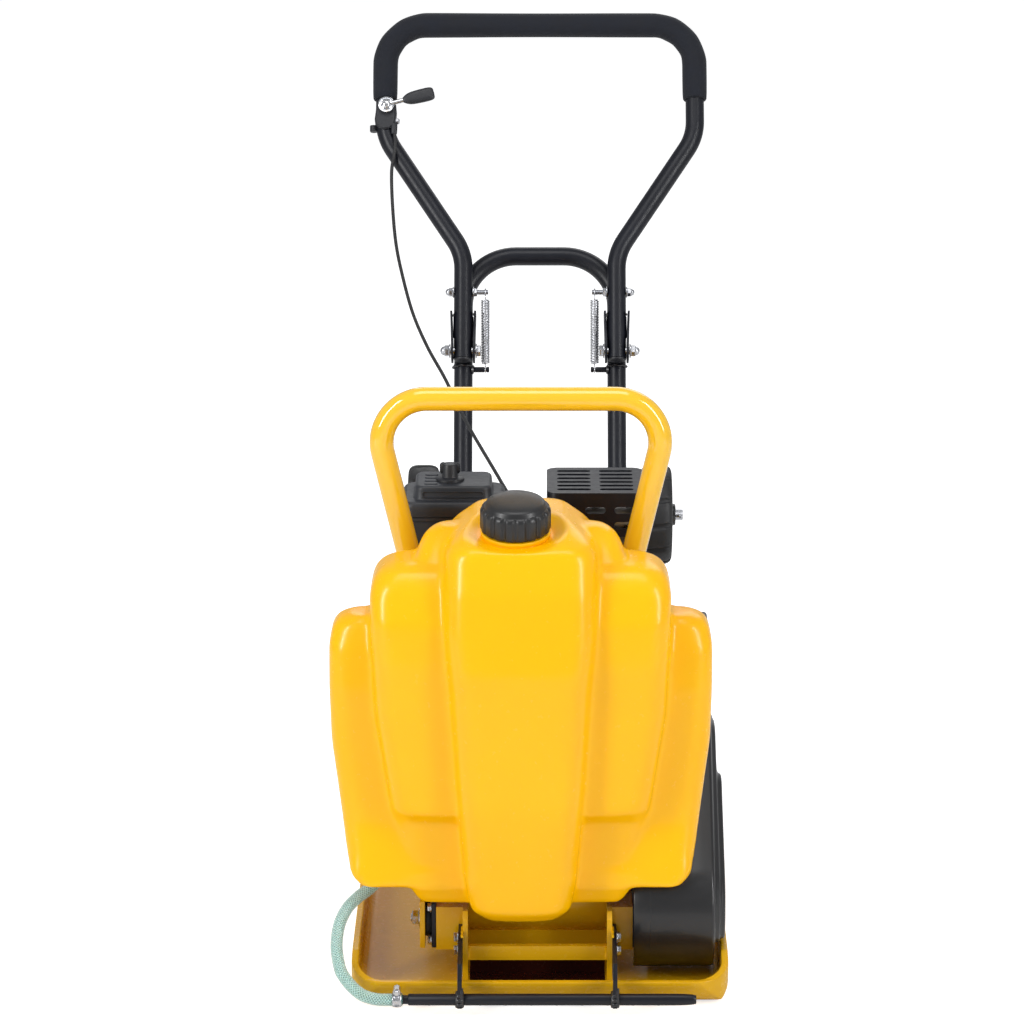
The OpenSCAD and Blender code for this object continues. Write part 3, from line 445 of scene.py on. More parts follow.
def spline(points, n):
    """Smooth curve through the points, n steps to a stretch."""
    out = []
    m = len(points) - 1
    for i in range(m):
        a, b = points[max(i - 1, 0)], points[i]
        c, d = points[i + 1], points[min(i + 2, m)]
        for k in range(n):
            t = k / n
            out.append(0.5 * (2 * b + (c - a) * t + (2 * a - 5 * b + 4 * c - d) * t * t
                              + (3 * b - a - 3 * c + d) * t ** 3))
    out.append(points[-1].copy())
    return out


def bent(steps, start, heading, normal, fine=6):
    """Path of straights [length] and bends [radius, degrees] in the plane across normal. + turns left."""
    p, h = start.copy(), heading.normalized()
    pts = [p.copy()]
    for step in steps:
        if len(step) == 1:
            n = max(1, int(step[0] / 0.04))
            for k in range(n):
                p = p + h * (step[0] / n)
                pts.append(p.copy())
        else:
            r, deg = step
            g = 1 if deg > 0 else -1
            c = p + normal.cross(h) * (g * r)
            n = max(2, int(abs(deg) / fine))
            for k in range(n):
                rot = Matrix.Rotation(math.radians(deg / n), 3, normal)
                p = c + rot @ (p - c)
                h = rot @ h
                pts.append(p.copy())
    return pts


WASHER = 0.0016


def hexagon(bm, centre, axis, flats, height, dome=False):
    """Bolt head or nut with chamfered corners on a washer, standing on centre along axis."""
    axis = axis.normalized()
    u = axis.orthogonal().normalized()
    v = axis.cross(u)
    lathe(bm, [(0.0001, 0), (flats * 0.70, 0), (flats * 0.72, 0.0003), (flats * 0.72, 0.0013),
               (flats * 0.70, WASHER), (0.0001, WASHER)], centre, axis, 28)
    r = flats * 0.577
    c = flats * 0.07
    top = WASHER + height
    loops = []
    for rr, h in ((r * 0.94, WASHER), (r, WASHER + c), (r, top - c), (r * 0.90, top)):
        loops.append([centre + axis * h + (u * math.cos(a) + v * math.sin(a)) * rr
                      for a in (math.pi / 3 * j + 0.2 for j in range(6))])
    rings(bm, loops)
    if dome:
        round_top = [(flats * 0.46 * math.cos(a), top + flats * 0.42 * math.sin(a))
                     for a in (math.radians(10 * k) for k in range(9))]
        lathe(bm, [(0.0001, top - 0.0005)] + round_top + [(0.0001, top + flats * 0.42)], centre, axis, 20)


def handle_point(x, w, n=0.0):
    """Point of the leaning handle: x across, w up the tube from the pivot, n out in front."""
    return Vector((x, PIVOT.y, PIVOT.z)) + UP * w + OUT * n


def at_front(x, yc, z):
    """Point from mm across, mm behind the plate's front edge and mm of height."""
    return Vector((x * MM, FRONT + yc * MM, z * MM))


def put(obj, body, replaces=None):
    """Rides a piece on a body, and hides the CAD node it stands in for."""
    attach(obj, body)
    if replaces:
        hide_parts(replaces)


# ---------------------------------------------------------------- camera, light and floor
def aim(lamp, target):
    """Turns a lamp to shine at a point."""
    lamp.rotation_euler = (Vector(target) - lamp.location).to_track_quat("-Z", "Y").to_euler()


# camera: place in front of the plate, height, pitch down from level, lens and frame shift
CAMERA_BACK, CAMERA_HEIGHT, CAMERA_PITCH = 4.5, 1.81, 15
SENSOR, LENS = 36, 147.9375
SHIFT_ACROSS, SHIFT_UP = -0.02734375, -0.01171875


def make_camera():
    data = bpy.data.cameras.new("camera")
    cam = bpy.data.objects.new("camera", data)
    bpy.context.scene.collection.objects.link(cam)
    cam.location = (0, FRONT - CAMERA_BACK, CAMERA_HEIGHT)
    cam.rotation_euler = (math.radians(90 - CAMERA_PITCH), 0, 0)
    data.sensor_width = SENSOR
    data.lens = LENS
    data.shift_x = SHIFT_ACROSS
    data.shift_y = SHIFT_UP
    data.clip_end = 100
    bpy.context.scene.camera = cam


def make_floor():
    bm = bmesh.new()
    block(bm, (-30, -30, -0.02), (30, 30, 0))
    mesh = bpy.data.meshes.new("floor")
    bm.to_mesh(mesh)
    bm.free()
    floor = bpy.data.objects.new("floor", mesh)
    bpy.context.scene.collection.objects.link(floor)
    tree, shader = nodes_of("floor_white")
    vec = coords(tree)
    cloud = noise(tree, vec, 1.5, 2)
    tone = ramp(tree, cloud, [(0.3, (0.86, 0.86, 0.86)), (0.7, (0.88, 0.88, 0.88))])
    link(tree, tone, shader.inputs["Base Color"])
    link(tree, tone, shader.inputs["Emission Color"])
    # the floor glows for the camera alone, so that the backdrop is white and casts no light upwards
    seen = tree.nodes.new("ShaderNodeLightPath")
    glow = mapped(tree, seen.outputs["Is Camera Ray"], 0.0, 0.75, 0.0, 1.0)
    link(tree, glow, shader.inputs["Emission Strength"])
    shader.inputs["Roughness"].default_value = 0.55
    shader.inputs["Specular IOR Level"].default_value = 0.0
    mesh.materials.append(MAT["floor_white"])


def make_lights():
    world = bpy.data.worlds.new("studio")
    bpy.context.scene.world = world
    world.use_nodes = True
    back = world.node_tree.nodes["Background"]
    back.inputs["Color"].default_value = (0.97, 0.98, 1.0, 1)
    back.inputs["Strength"].default_value = 0.40
    for name, place, size, power in (
        ("key", (-2.9, -2.3, 2.2), (0.6, 3.0), 92),
        ("fill", (2.9, -2.2, 2.0), (0.6, 3.0), 66),
        ("top", (0.0, -0.6, 3.4), (2.0, 1.4), 26),
        ("back", (0.6, 3.4, 2.6), (3.0, 2.0), 26),
    ):
        data = bpy.data.lights.new(name, "AREA")
        data.shape = "RECTANGLE"
        data.size, data.size_y = size
        data.energy = power
        lamp = bpy.data.objects.new(name, data)
        bpy.context.scene.collection.objects.link(lamp)
        lamp.location = place
        aim(lamp, (0, 0, 0.45))
    view = bpy.context.scene.view_settings
    view.view_transform = "Standard"
    view.look = "None"
    view.exposure = 0.0


make_camera()
make_floor()
make_lights()


# ---------------------------------------------------------------- water tank and cap
TANK_X = -0.022
# half width, front and back of each tier of lobes against height, in mm behind the plate's front
TIERS = {
    "middle": {
        "half": [(98, 42), (112, 58), (150, 64), (267, 73), (378, 80), (440, 86), (528, 85), (540, 74),
                 (556, 50)],
        "front": [(98, 22), (112, 8), (240, -6), (400, -4), (490, 12), (535, 32), (556, 84)],
        "back": [(98, 56), (155, 56), (157, 150), (466, 150), (480, 200), (556, 198)],
        "corner": 28, "crown": 4,
    },
    "shoulder": {
        "half": [(440, 112), (500, 119), (512, 118), (524, 114), (536, 106), (543, 92)],
        "front": [(440, 40), (480, 46), (510, 70), (530, 92), (543, 112)],
        "back": [(440, 150), (543, 148)],
        "corner": 18, "crown": 8,
    },
    "side": {
        "half": [(110, 112), (122, 124), (162, 135), (227, 148), (338, 165), (440, 170), (474, 171),
                 (492, 167), (503, 158), (509, 142)],
        "front": [(110, 48), (130, 42), (204, 37), (214, 34), (226, 24), (400, 25), (450, 30), (485, 42),
                  (503, 56), (509, 72)],
        "back": [(110, 56), (155, 56), (157, 150), (500, 150), (509, 142)],
        "corner": 24, "crown": 9,
    },
    "outer": {
        "half": [(131, 182), (143, 196), (172, 201), (225, 208), (296, 217), (360, 219), (408, 219),
                 (428, 215), (438, 208), (443, 196)],
        "front": [(131, 40), (150, 42), (200, 50), (240, 54), (360, 54), (412, 62), (434, 72), (443, 84)],
        "back": [(131, 54), (138, 66), (222, 148), (430, 150), (443, 138)],
        "corner": 22, "crown": 16,
    },
}


def at(table, z):
    """Value of a (height, value) table at a height, straight between its points."""
    if z <= table[0][0]:
        return table[0][1]
    for (z0, v0), (z1, v1) in zip(table, table[1:]):
        if z <= z1:
            return v0 + (v1 - v0) * (z - z0) / (z1 - z0)
    return table[-1][1]


def split_edges(outline, pieces=16):
    """Splits the outline's long front and back edges, so that they can be bowed."""
    pts = []
    for (x0, y0), (x1, y1) in zip(outline, outline[1:] + outline[:1]):
        n = pieces if abs(x1 - x0) > 20 else 1
        pts += [(x0 + (x1 - x0) * k / n, y0 + (y1 - y0) * k / n) for k in range(n)]
    return pts


def tier_mesh(bm, tier):
    """One tier of lobes: rounded sections stacked by height, the front bowed back towards the sides."""
    low, high = tier["half"][0][0], tier["half"][-1][0]
    n = int((high - low) / 5)
    loops = []
    for i in range(n + 1):
        z = low + (high - low) * i / n
        half, y0, y1 = at(tier["half"], z), at(tier["front"], z), at(tier["back"], z)
        r = min(tier["corner"], (y1 - y0) * 0.45, half * 0.45)
        loop = []
        for x, y in split_edges(round_rect(2 * half, y1 - y0, r, 6, 0, (y0 + y1) / 2)):
            back = (y1 - y) / max(1.0, y1 - y0)
            y += min(tier["crown"], 0.2 * (y1 - y0)) * back * (x / half) ** 2
            loop.append(Vector((TANK_X + x * MM, FRONT + y * MM, z * MM)))
        loops.append(loop)
    rings(bm, loops)


# bowl round the neck: radius, width of its sloping rim and depth under the cap's foot
BOWL_R, BOWL_RIM, BOWL_DEPTH = 0.064, 0.024, 0.0105
# foot and tilt of the filler neck, which the cap shares
NECK_FOOT = Vector((-0.0276, FRONT + 0.082, 0.552))
NECK_TILT = math.radians(10)
NECK_TURN = Matrix.Rotation(NECK_TILT, 3, "X")


def make_tank():
    bm = bmesh.new()
    for tier in TIERS.values():
        tier_mesh(bm, tier)
    tank = new_object("tank_moulding", bm, "tank_plastic", 60)
    modifier(tank, "REMESH", mode="VOXEL", voxel_size=0.0026, use_smooth_shade=True)
    modifier(tank, "SMOOTH", factor=0.6, iterations=26)
    settle(tank)
    # bowl round the filler neck, tilted as the neck is
    foot = NECK_FOOT
    axis = NECK_TURN @ UPRIGHT
    for v in tank.data.vertices:
        if v.co.z < 0.49:
            continue
        d = math.hypot(v.co.x - foot.x, v.co.y - foot.y)
        if d < BOWL_R:
            share = min(1.0, (BOWL_R - d) / BOWL_RIM)
            share = share * share * (3 - 2 * share)
            floor = foot.z - BOWL_DEPTH + math.tan(NECK_TILT) * (v.co.y - foot.y)
            v.co.z -= share * max(0.0, v.co.z - floor)
    bm = bmesh.new()
    lathe(bm, [(0.026, 0.016), (0.0285, 0.0175), (0.030, 0.016), (0.030, -0.0040), (0.0385, -0.0044),
               (0.0398, -0.0056), (0.0400, -0.0074), (0.0385, -0.0100), (0.0400, -0.0150), (0.026, -0.0150),
               (0.026, 0.016)], foot, axis, 56)
    for k in range(2):
        lathe(bm, [(0.0295, 0.004 + 0.005 * k), (0.0306, 0.0055 + 0.005 * k), (0.0295, 0.007 + 0.005 * k)],
              foot, axis, 40)
    neck = new_object("tank_neck", bm, "tank_plastic")
    put(tank, "deck", "water_tank")
    put(neck, "deck")


def make_cap():
    bm = bmesh.new()
    count, flutes = 216, 18
    # radius, height and how deep the flutes are
    rows = [(31.0, 20.6, 0), (31.0, -2.0, 0), (32.0, -2.8, 0), (38.2, -2.8, 0.4), (39.6, -1.8, 0.8),
            (40.0, 0.5, 1), (40.0, 19.0, 1), (39.6, 21.2, 1), (38.4, 23.0, 0.7), (36.6, 24.2, 0.15),
            (35.4, 24.6, 0), (34.8, 25.8, 0), (34.0, 28.0, 0), (32.4, 29.8, 0), (29.0, 31.2, 0),
            (20.0, 32.4, 0), (10.0, 32.9, 0), (0.4, 33.0, 0)]
    loops = []
    for r, h, deep in rows:
        loop = []
        for j in range(count):
            a = 2 * math.pi * j / count
            c = 0.5 - 0.5 * math.cos(flutes * a)
            groove = max(0.0, (c - 0.45) / 0.55) ** 1.2
            rr = r - deep * 2.3 * groove
            spoke = Vector((rr * MM * math.cos(a), rr * MM * math.sin(a), h * MM))
            loop.append(NECK_FOOT + NECK_TURN @ spoke)
        loops.append(loop)
    rings(bm, loops)
    cap = new_object("cap_fluted", bm, "cap_plastic", 30)
    put(cap, "cap", "tank_cap")


make_tank()
make_cap()


# ---------------------------------------------------------------- roll bar
def make_roll_bar():
    a = math.radians(13.4)
    low, r1, r2, z0, z1 = 0.230, 0.040, 0.052, 0.200, 0.671
    up = (z1 - z0 - low - r1 * math.sin(a) - r2 * math.sin(a) - r2) / math.cos(a)
    top = 2 * (0.118 + r1 * (1 - math.cos(a)) + up * math.sin(a) - r2 * math.cos(a))
    y = FRONT + 0.200
    steps = [[low], [r1, 13.4], [up], [r2, -103.4], [top], [r2, -103.4], [up], [r1, 13.4], [low]]
    path = bent(steps, Vector((TANK_X - 0.118, y, z0)), Vector((0, 0, 1)), Vector((0, -1, 0)), 5)
    bm = bmesh.new()
    tube(bm, path, 0.014, 32)
    bar = new_object("roll_bar_tube", bm, "bar_paint")
    bm = bmesh.new()
    for s in (-1, 1):
        x = TANK_X + s * 0.118
        loops = []
        for inset, z in ((0.0012, 0.200), (0, 0.2012), (0, 0.2048), (0.0012, 0.206)):
            loops.append([Vector((p, q, z)) for p, q in
                          round_rect(0.030 - 2 * inset, 0.070 - 2 * inset, 0.006, 5, x, y + 0.015)])
        rings(bm, loops)
        # weld bead round the foot of the tube
        bead = [Vector((x + 0.0155 * math.cos(t), y + 0.0155 * math.sin(t),
                        0.2068 + 0.0008 * math.sin(9 * t)))
                for t in (2 * math.pi * k / 36 for k in range(37))]
        tube(bm, bead, 0.0028, 8)
    feet = new_object("roll_bar_feet", bm, "bar_paint")
    put(bar, "deck", "roll_bar")
    put(feet, "deck")


make_roll_bar()


# ---------------------------------------------------------------- handle
# half spacing of the lower and upper tubes, reach above the pivot, tube size, lower frame's set-back
LEG, GRIP, REACH = 0.099, 0.202, 0.443
TUBE_R, TUBE_BORE = 0.012, 0.010
SET_BACK = -0.030
# the springs' upper pins and lower lugs: up the handle from the pivot, and out in front
PIN_UP, LUG_UP, LUG_OUT = 0.0785, -0.018, -0.0258


def handle_tube(name, path):
    """Hollow black tube along a path."""
    bm = bmesh.new()
    tube(bm, path, TUBE_R, 28, inner=TUBE_BORE)
    return new_object(name, bm, "black_steel")


def make_upper_handle():
    """U of tube that widens above each pivot by a double bend."""
    leg = [[0.1206], [0.070, 33], [0.1477], [0.070, -33], [0.0777]]
    steps = leg + [[0.055, -90], [2 * GRIP - 0.110], [0.055, -90]] + leg[::-1]
    path = bent(steps, handle_point(-LEG, -0.0104), UP, OUT, 4)
    put(handle_tube("upper_handle_tube", path), "handle", "upper_handle")


def make_foam():
    """Foam grip, with softly rounded ends and a slight unevenness."""
    straight = [REACH - 0.395]
    path = bent([straight, [0.055, -90], [2 * GRIP - 0.110], [0.055, -90], straight],
                handle_point(-GRIP, 0.340), UP, OUT, 4)
    # radius and shift along the tube of the rounding at an end, from the bore outwards
    rounding = [(0.0123, 0.0), (0.0150, 0.0), (0.0162, 0.0012)]
    loops = []
    for i, (p, u, v, t) in enumerate(frame_along(path)):
        swell = 0.00025 * math.sin(i * 0.9) + 0.0002 * math.sin(i * 0.37)
        section = [(0.01595 + swell, 0.0)]
        if i == 0:
            section = rounding
        elif i == len(path) - 1:
            section = [(r, -shift) for r, shift in reversed(rounding)]
        for r, shift in section:
            loops.append(circle(p + t * shift, u, v, r, 32))
    bm = bmesh.new()
    rings(bm, loops, caps=False)
    foam = new_object("foam_sleeve", bm, "foam", 50)
    modifier(foam, "SUBSURF", levels=1, render_levels=1)
    put(foam, "handle", "foam_grip")


def make_lower_handle():
    """Inverted U behind the upper tubes."""
    path = bent([[0.486], [0.068, -90], [2 * LEG - 0.136], [0.068, -90], [0.486]],
                handle_point(-LEG, -0.418, SET_BACK), UP, OUT, 5)
    put(handle_tube("lower_handle_tube", path), "deck", "lower_handle")


def make_fold_plates():
    """Two flared plates and a web on each leg, which hold the pivot."""
    outline = [(2, -34), (-12, -17), (-13.4, -8), (-13, 2), (-11, 8), (-6, 11.5), (0, 12.8), (8, 11.5),
               (20, 7.5), (38, 7), (46, 8.5), (51, 11), (53, 2), (53, -16), (48, -26), (40, -34)]
    bm = bmesh.new()
    for s in (-1, 1):
        for q in (-1, 1):
            def place(w, n, h, s=s, q=q):
                flare = max(0.0, (w - 20) * 0.045)
                return handle_point((s * 99 + q * (12.6 + flare + h)) * MM, w * MM, n * MM)
            slab(bm, outline, 0, 2.8, place)
        corners = [handle_point(x * MM, w * MM, n * MM)
                   for x in (s * 99 - 13, s * 99 + 13) for w in (22, 50) for n in (-19, -12.8)]
        vs = [bm.verts.new(c) for c in corners]
        for f in ((0, 1, 3, 2), (4, 6, 7, 5), (0, 4, 5, 1), (2, 3, 7, 6), (0, 2, 6, 4), (1, 5, 7, 3)):
            bm.faces.new([vs[k] for k in f])
    plates = new_object("fold_plates", bm, "black_steel", 30)
    bevel(plates, 0.0008, 2)
    put(plates, "deck")


def make_spring_lugs():
    """Turned lugs on the lower frame, each with an eye for its spring."""
    bm = bmesh.new()
    for s in (-1, 1):
        lathe(bm, [(0.0001, 0.0655), (0.0030, 0.0655), (0.0036, 0.0660), (0.0036, 0.0690), (0.0025, 0.0694),
                   (0.0025, 0.0716), (0.0036, 0.0720), (0.0036, 0.0890), (0.0001, 0.0890)],
              handle_point(0, LUG_UP, LUG_OUT), ACROSS * s, 24)
    put(new_object("spring_lugs", bm, "black_steel", 30), "deck")


def make_tube_plugs():
    """Plugs that close the upper tube's lower ends."""
    bm = bmesh.new()
    for s in (-1, 1):
        lathe(bm, [(0.0001, 0.006), (0.0099, 0.006), (0.0099, -0.0006), (0.0118, -0.0008), (0.0114, -0.0026),
                   (0.0090, -0.0034), (0.0001, -0.0036)], handle_point(s * LEG, -0.0104), UP, 32)
    put(new_object("tube_plugs", bm, "dull_plastic", 30), "handle")


def make_handle_welds():
    """Rippled beads where the plates and the lugs meet the lower frame."""
    bm = bmesh.new()
    for s in (-1, 1):
        for w0 in (-14, 56):
            bead = [handle_point((s * 99 + 13.0 * math.cos(t)) * MM, w0 * MM + 0.0006 * math.sin(8 * t),
                                 SET_BACK + 0.013 * math.sin(t))
                    for t in (math.pi * k / 20 + 0.2 for k in range(19))]
            tube(bm, bead, lambda f: 0.0018 + 0.0004 * math.sin(40 * f), 8)
        ring = [handle_point(s * 0.0872, LUG_UP + 0.0042 * math.cos(t), LUG_OUT + 0.0042 * math.sin(t))
                for t in (2 * math.pi * k / 20 for k in range(21))]
        tube(bm, ring, 0.0019, 8)
    put(new_object("handle_welds", bm, "weld"), "deck")


def make_pivot_bolts():
    """A bolt through each pivot, with an acorn nut outboard and a hexagon inboard."""
    bm = bmesh.new()
    shank = [(0.0001, -0.018), (0.005, -0.018), (0.005, 0.018), (0.0001, 0.018)]
    for s in (-1, 1):
        lathe(bm, shank, handle_point(s * LEG, 0), ACROSS, 20)
        hexagon(bm, handle_point(s * (LEG + 0.0163), 0), ACROSS * s, 0.013, 0.006, dome=True)
        hexagon(bm, handle_point(s * (LEG - 0.0163), 0), -ACROSS * s, 0.013, 0.005)
    put(new_object("pivot_fasteners", bm, "zinc", 30), "deck", "pivot_bolts")


def make_spring_pins():
    """A threaded pin through each upper tube, which holds its spring."""
    half, pitch = 0.0245, 0.0008
    bm = bmesh.new()
    for s in (-1, 1):
        rod = [(0.0001, -half)]
        h = -half
        while h < half:
            rod += [(0.0030, h), (0.0034, h + 0.0004)]
            h += pitch
        rod += [(0.0030, half), (0.0001, half)]
        lathe(bm, rod, handle_point(s * 0.0915, PIN_UP), ACROSS, 16)
        hexagon(bm, handle_point(s * (LEG + 0.0122), PIN_UP), ACROSS * s, 0.010, 0.005, dome=True)
        hexagon(bm, handle_point(s * (LEG - 0.0122), PIN_UP), -ACROSS * s, 0.010, 0.004)
    put(new_object("spring_pin_rods", bm, "zinc", 30), "handle", "spring_pins")


def make_springs():
    """Close-wound extension springs with a hook at each end."""
    for s in (-1, 1):
        a = handle_point(s * 0.0705, PIN_UP, 0.0)
        b = handle_point(s * 0.0705, LUG_UP, LUG_OUT)
        ax = (b - a).normalized()
        u = ACROSS
        v = ax.cross(u)
        length = (b - a).length
        first, last, turns, r, wire = 0.0095, length - 0.0075, 40, 0.0050, 0.0008
        path = [a + (v * math.cos(t) - ax * math.sin(t)) * 0.0044 for t in
                (math.radians(-120 + 20 * k) for k in range(16))]
        path += [a + ax * 0.004 + v * 0.0022]
        for k in range(turns * 12 + 1):
            t = 2 * math.pi * k / 12
            grow = min(1.0, 0.35 + k / 8, 0.35 + (turns * 12 - k) / 8)
            path.append(a + ax * (first + (last - first) * k / (turns * 12))
                        + (v * math.cos(t) + u * math.sin(t)) * (r * grow))
        path += [b - ax * 0.0045 + v * 0.0022]
        path += [b + (v * math.cos(t) + ax * math.sin(t)) * 0.0036 for t in
                 (math.radians(-40 + 20 * k) for k in range(14))]
        bm = bmesh.new()
        tube(bm, path, wire, 6)
        spring = new_object("spring_" + ("left" if s < 0 else "right"), bm, "zinc", 60)
        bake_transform(spring)
    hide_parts("springs")


make_upper_handle()
make_foam()
make_lower_handle()
make_fold_plates()
make_spring_lugs()
make_tube_plugs()
make_handle_welds()
make_pivot_bolts()
make_spring_pins()
make_springs()


# ---------------------------------------------------------------- throttle lever and cable
def blunt(v, power=0.62):
    """Makes a circle's sine or cosine squarer, for rounded-rectangle sections."""
    return math.copysign(abs(v) ** power, v)


def egg(a, ra, b, rb, steps=14):
    """Outline round two circles, the first above the second, each given as centre and radius."""
    pts = []
    for (cx, cy), r, start in ((a, ra, 0), (b, rb, 180)):
        for k in range(steps + 1):
            t = math.radians(start + 180 * k / steps)
            pts.append((cx + r * math.cos(t), cy + r * math.sin(t)))
    return pts


def slot_frame(hub):
    """Frame at the hub whose z points out along the spindle, turned a little about it."""
    turn = Matrix.Rotation(math.radians(35), 4, "Z")
    return Matrix.Translation(hub) @ OUT.to_track_quat("Z", "X").to_matrix().to_4x4() @ turn


def make_throttle_clamp():
    """Two half shells round the tube with a split line, the cable's ferrules and the clamping screw."""
    bm = bmesh.new()
    # each shell is a round boss on a slightly wider band
    for lo, hi in ((-14.5, -0.3), (0.3, 15.5)):
        near, far = (1.0, 0.2) if lo < 0 else (0.2, 1.8)
        loops = []
        for inset, h in ((1.0, lo), (0, lo + near), (0, hi - far), (far, hi)):
            outline = egg((-200, 326), 13.0 - inset, (-201.5, 309), 13.6 - inset)
            loops.append([handle_point(p * MM, q * MM, h * MM) for p, q in outline])
        rings(bm, loops)
    clamp = new_object("throttle_clamp_shells", bm, "dull_plastic", 30)
    bm = bmesh.new()
    lathe(bm, [(0.0001, -0.008), (0.0034, -0.008), (0.0040, -0.007), (0.0044, 0.001), (0.0044, 0.006),
               (0.0001, 0.006)],
          handle_point(-0.1898, 0.2970, 0.012), UP, 20)
    lathe(bm, [(0.0001, -0.004), (0.0046, -0.004), (0.0052, -0.003), (0.0052, 0.004), (0.0001, 0.004)],
          handle_point(-0.2165, 0.300, 0.0), UP, 20)
    ferrule = new_object("throttle_ferrule", bm, "dull_plastic", 30)
    bm = bmesh.new()
    lathe(bm, [(0.0001, 0.0), (0.0046, 0.0), (0.0046, 0.0012), (0.0040, 0.0014), (0.0040, 0.0040),
               (0.0030, 0.0054), (0.0001, 0.0056)], handle_point(-0.1883, 0.3085, 0.006), ACROSS, 24)
    screws = new_object("throttle_screws", bm, "zinc", 30)
    put(clamp, "handle", "throttle_clamp")
    put(ferrule, "handle")
    put(screws, "handle")


def make_throttle_lever():
    """Dished hub with a screw slot, a short rod and a flat paddle."""
    hub = handle_point(-0.200, 0.327)
    bm = bmesh.new()
    lathe(bm, [(0.0001, 0.0160), (0.0098, 0.0160), (0.0106, 0.0168), (0.0106, 0.0212), (0.0100, 0.0220),
               (0.0088, 0.0218), (0.0080, 0.0200), (0.0062, 0.0192), (0.0058, 0.0194), (0.0056, 0.0222),
               (0.0046, 0.0236), (0.0026, 0.0244), (0.0001, 0.0246)], hub, OUT, 44)
    block(bm, (-0.0048, -0.0007, 0.0236), (0.0048, 0.0007, 0.0250), slot_frame(hub))
    rot = Matrix.Rotation(math.radians(14), 3, OUT)
    rod = [hub + OUT * (0.0190 + 0.06 * d) + rot @ (ACROSS * d) for d in (0.006, 0.012, 0.018, 0.024, 0.032)]
    tube(bm, rod, 0.0031, 16)
    lever = new_object("throttle_hub", bm, "chrome", 35)
    bm = bmesh.new()
    loops = []
    # distance from the hub, half width and half thickness of the paddle
    sections = ((22, 2.8, 3.0), (24, 4.0, 3.8), (28, 6.6, 4.3), (33, 8.4, 4.6), (44, 9.0, 4.7),
                (54, 9.2, 4.5), (60, 8.8, 4.0), (63, 7.6, 3.2), (64.2, 5.0, 1.8))
    for d, half, thick in sections:
        loops.append([hub + OUT * 0.0211 + rot @ (ACROSS * (d * MM) + UP * (half * MM * blunt(math.cos(t))))
                      + OUT * (thick * MM * blunt(math.sin(t)))
                      for t in (2 * math.pi * k / 24 for k in range(24))])
    rings(bm, loops)
    grip = new_object("throttle_paddle", bm, "dull_plastic", 50)
    modifier(grip, "SUBSURF", levels=1, render_levels=2)
    put(lever, "lever", "throttle_lever")
    put(grip, "lever")


# the cable's route, in millimetres, from the lever to the engine's control plate
CABLE = [(-190, 641.9, 860.8), (-188, 628.9, 843.5), (-189.5, 619.8, 828), (-192.5, 611.6, 807.4),
         (-191, 595, 767), (-186, 560, 726), (-177, 520, 693), (-162, 465, 654), (-142, 410, 622),
         (-119, 350, 596), (-99, 290, 570), (-82, 240, 551), (-49, 140, 521), (-36, 104, 505), (-29, 78, 476),
         (-28, 62, 445), (-28, 60, 426.5)]


def make_cable():
    path = spline([Vector(p) * MM for p in CABLE], 8)
    bm = bmesh.new()
    tube(bm, path, 0.0022, 12)
    cable = new_object("cable_sheath", bm, "rubber", 60)
    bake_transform(cable)
    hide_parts("throttle_cable")


make_throttle_clamp()
make_throttle_lever()
make_cable()


# ---------------------------------------------------------------- layered forms and weld beads
def weld(bm, path, radius=0.0026):
    """Rippled bead along a list of points."""
    pts = []
    for a, b in zip(path, path[1:]):
        n = max(2, int((b - a).length / 0.0022))
        pts += [a.lerp(b, k / n) for k in range(n)]
    pts.append(path[-1])
    count = len(pts)
    tube(bm, pts, lambda f: radius * (0.86 + 0.14 * math.sin(f * count * 1.15)), 9)


def layers(bm, x, yc, r, rows):
    """Stacked rounded rectangles; rows are (inset, height), x and yc are (low, high)."""
    loops = []
    w, d = x[1] - x[0], yc[1] - yc[0]
    for inset, z in rows:
        rr = max(0.6, r - inset)
        outline = round_rect(w - 2 * inset, d - 2 * inset, rr, 7, (x[0] + x[1]) / 2, (yc[0] + yc[1]) / 2)
        loops.append([at_front(p, q, z) for p, q in outline])
    rings(bm, loops)


# ---------------------------------------------------------------- base: welds, spray bar, mounts
def make_base_welds():
    bm = bmesh.new()
    for x in (-89.3, -82.7, 76.7, 83.3):
        weld(bm, [at_front(x, 48, 9.0), at_front(x, 492, 9.0)], 0.003)
    for yc in (51.6, 60.4, 483.6, 492.4):
        for x in (-82.6, 76.6):
            weld(bm, [at_front(x, yc, 42), at_front(x, yc, 57)])
    for x in (-89.4, 83.4):
        weld(bm, [at_front(x, 30, 77.6), at_front(x, 60, 78.2)], 0.0018)
    put(new_object("base_welds", bm, "yellow_paint", 60), "base")
    bm = bmesh.new()
    for x in (-89.2, 88.2):
        weld(bm, [at_front(x, -25.5, 18), at_front(x, -25.8, 30), at_front(x, -24, 36)], 0.0022)
    for x in (-94.4, -88.6, 82.6, 88.4):
        ring = [at_front(x, -18 + 7.9 * math.cos(a), 20 + 7.9 * math.sin(a))
                for a in (math.radians(12 * k) for k in range(31))]
        weld(bm, ring, 0.0023)
    for x in (-91.5, 85.5):
        for yc, z in ((-25.4, 16), (-25.8, 21), (-24.6, 26)):
            weld(bm, [at_front(x - 3, yc, z), at_front(x, yc - 0.8, z + 1), at_front(x + 3, yc, z)], 0.0026)
    put(new_object("bracket_welds", bm, "weld", 60), "base")


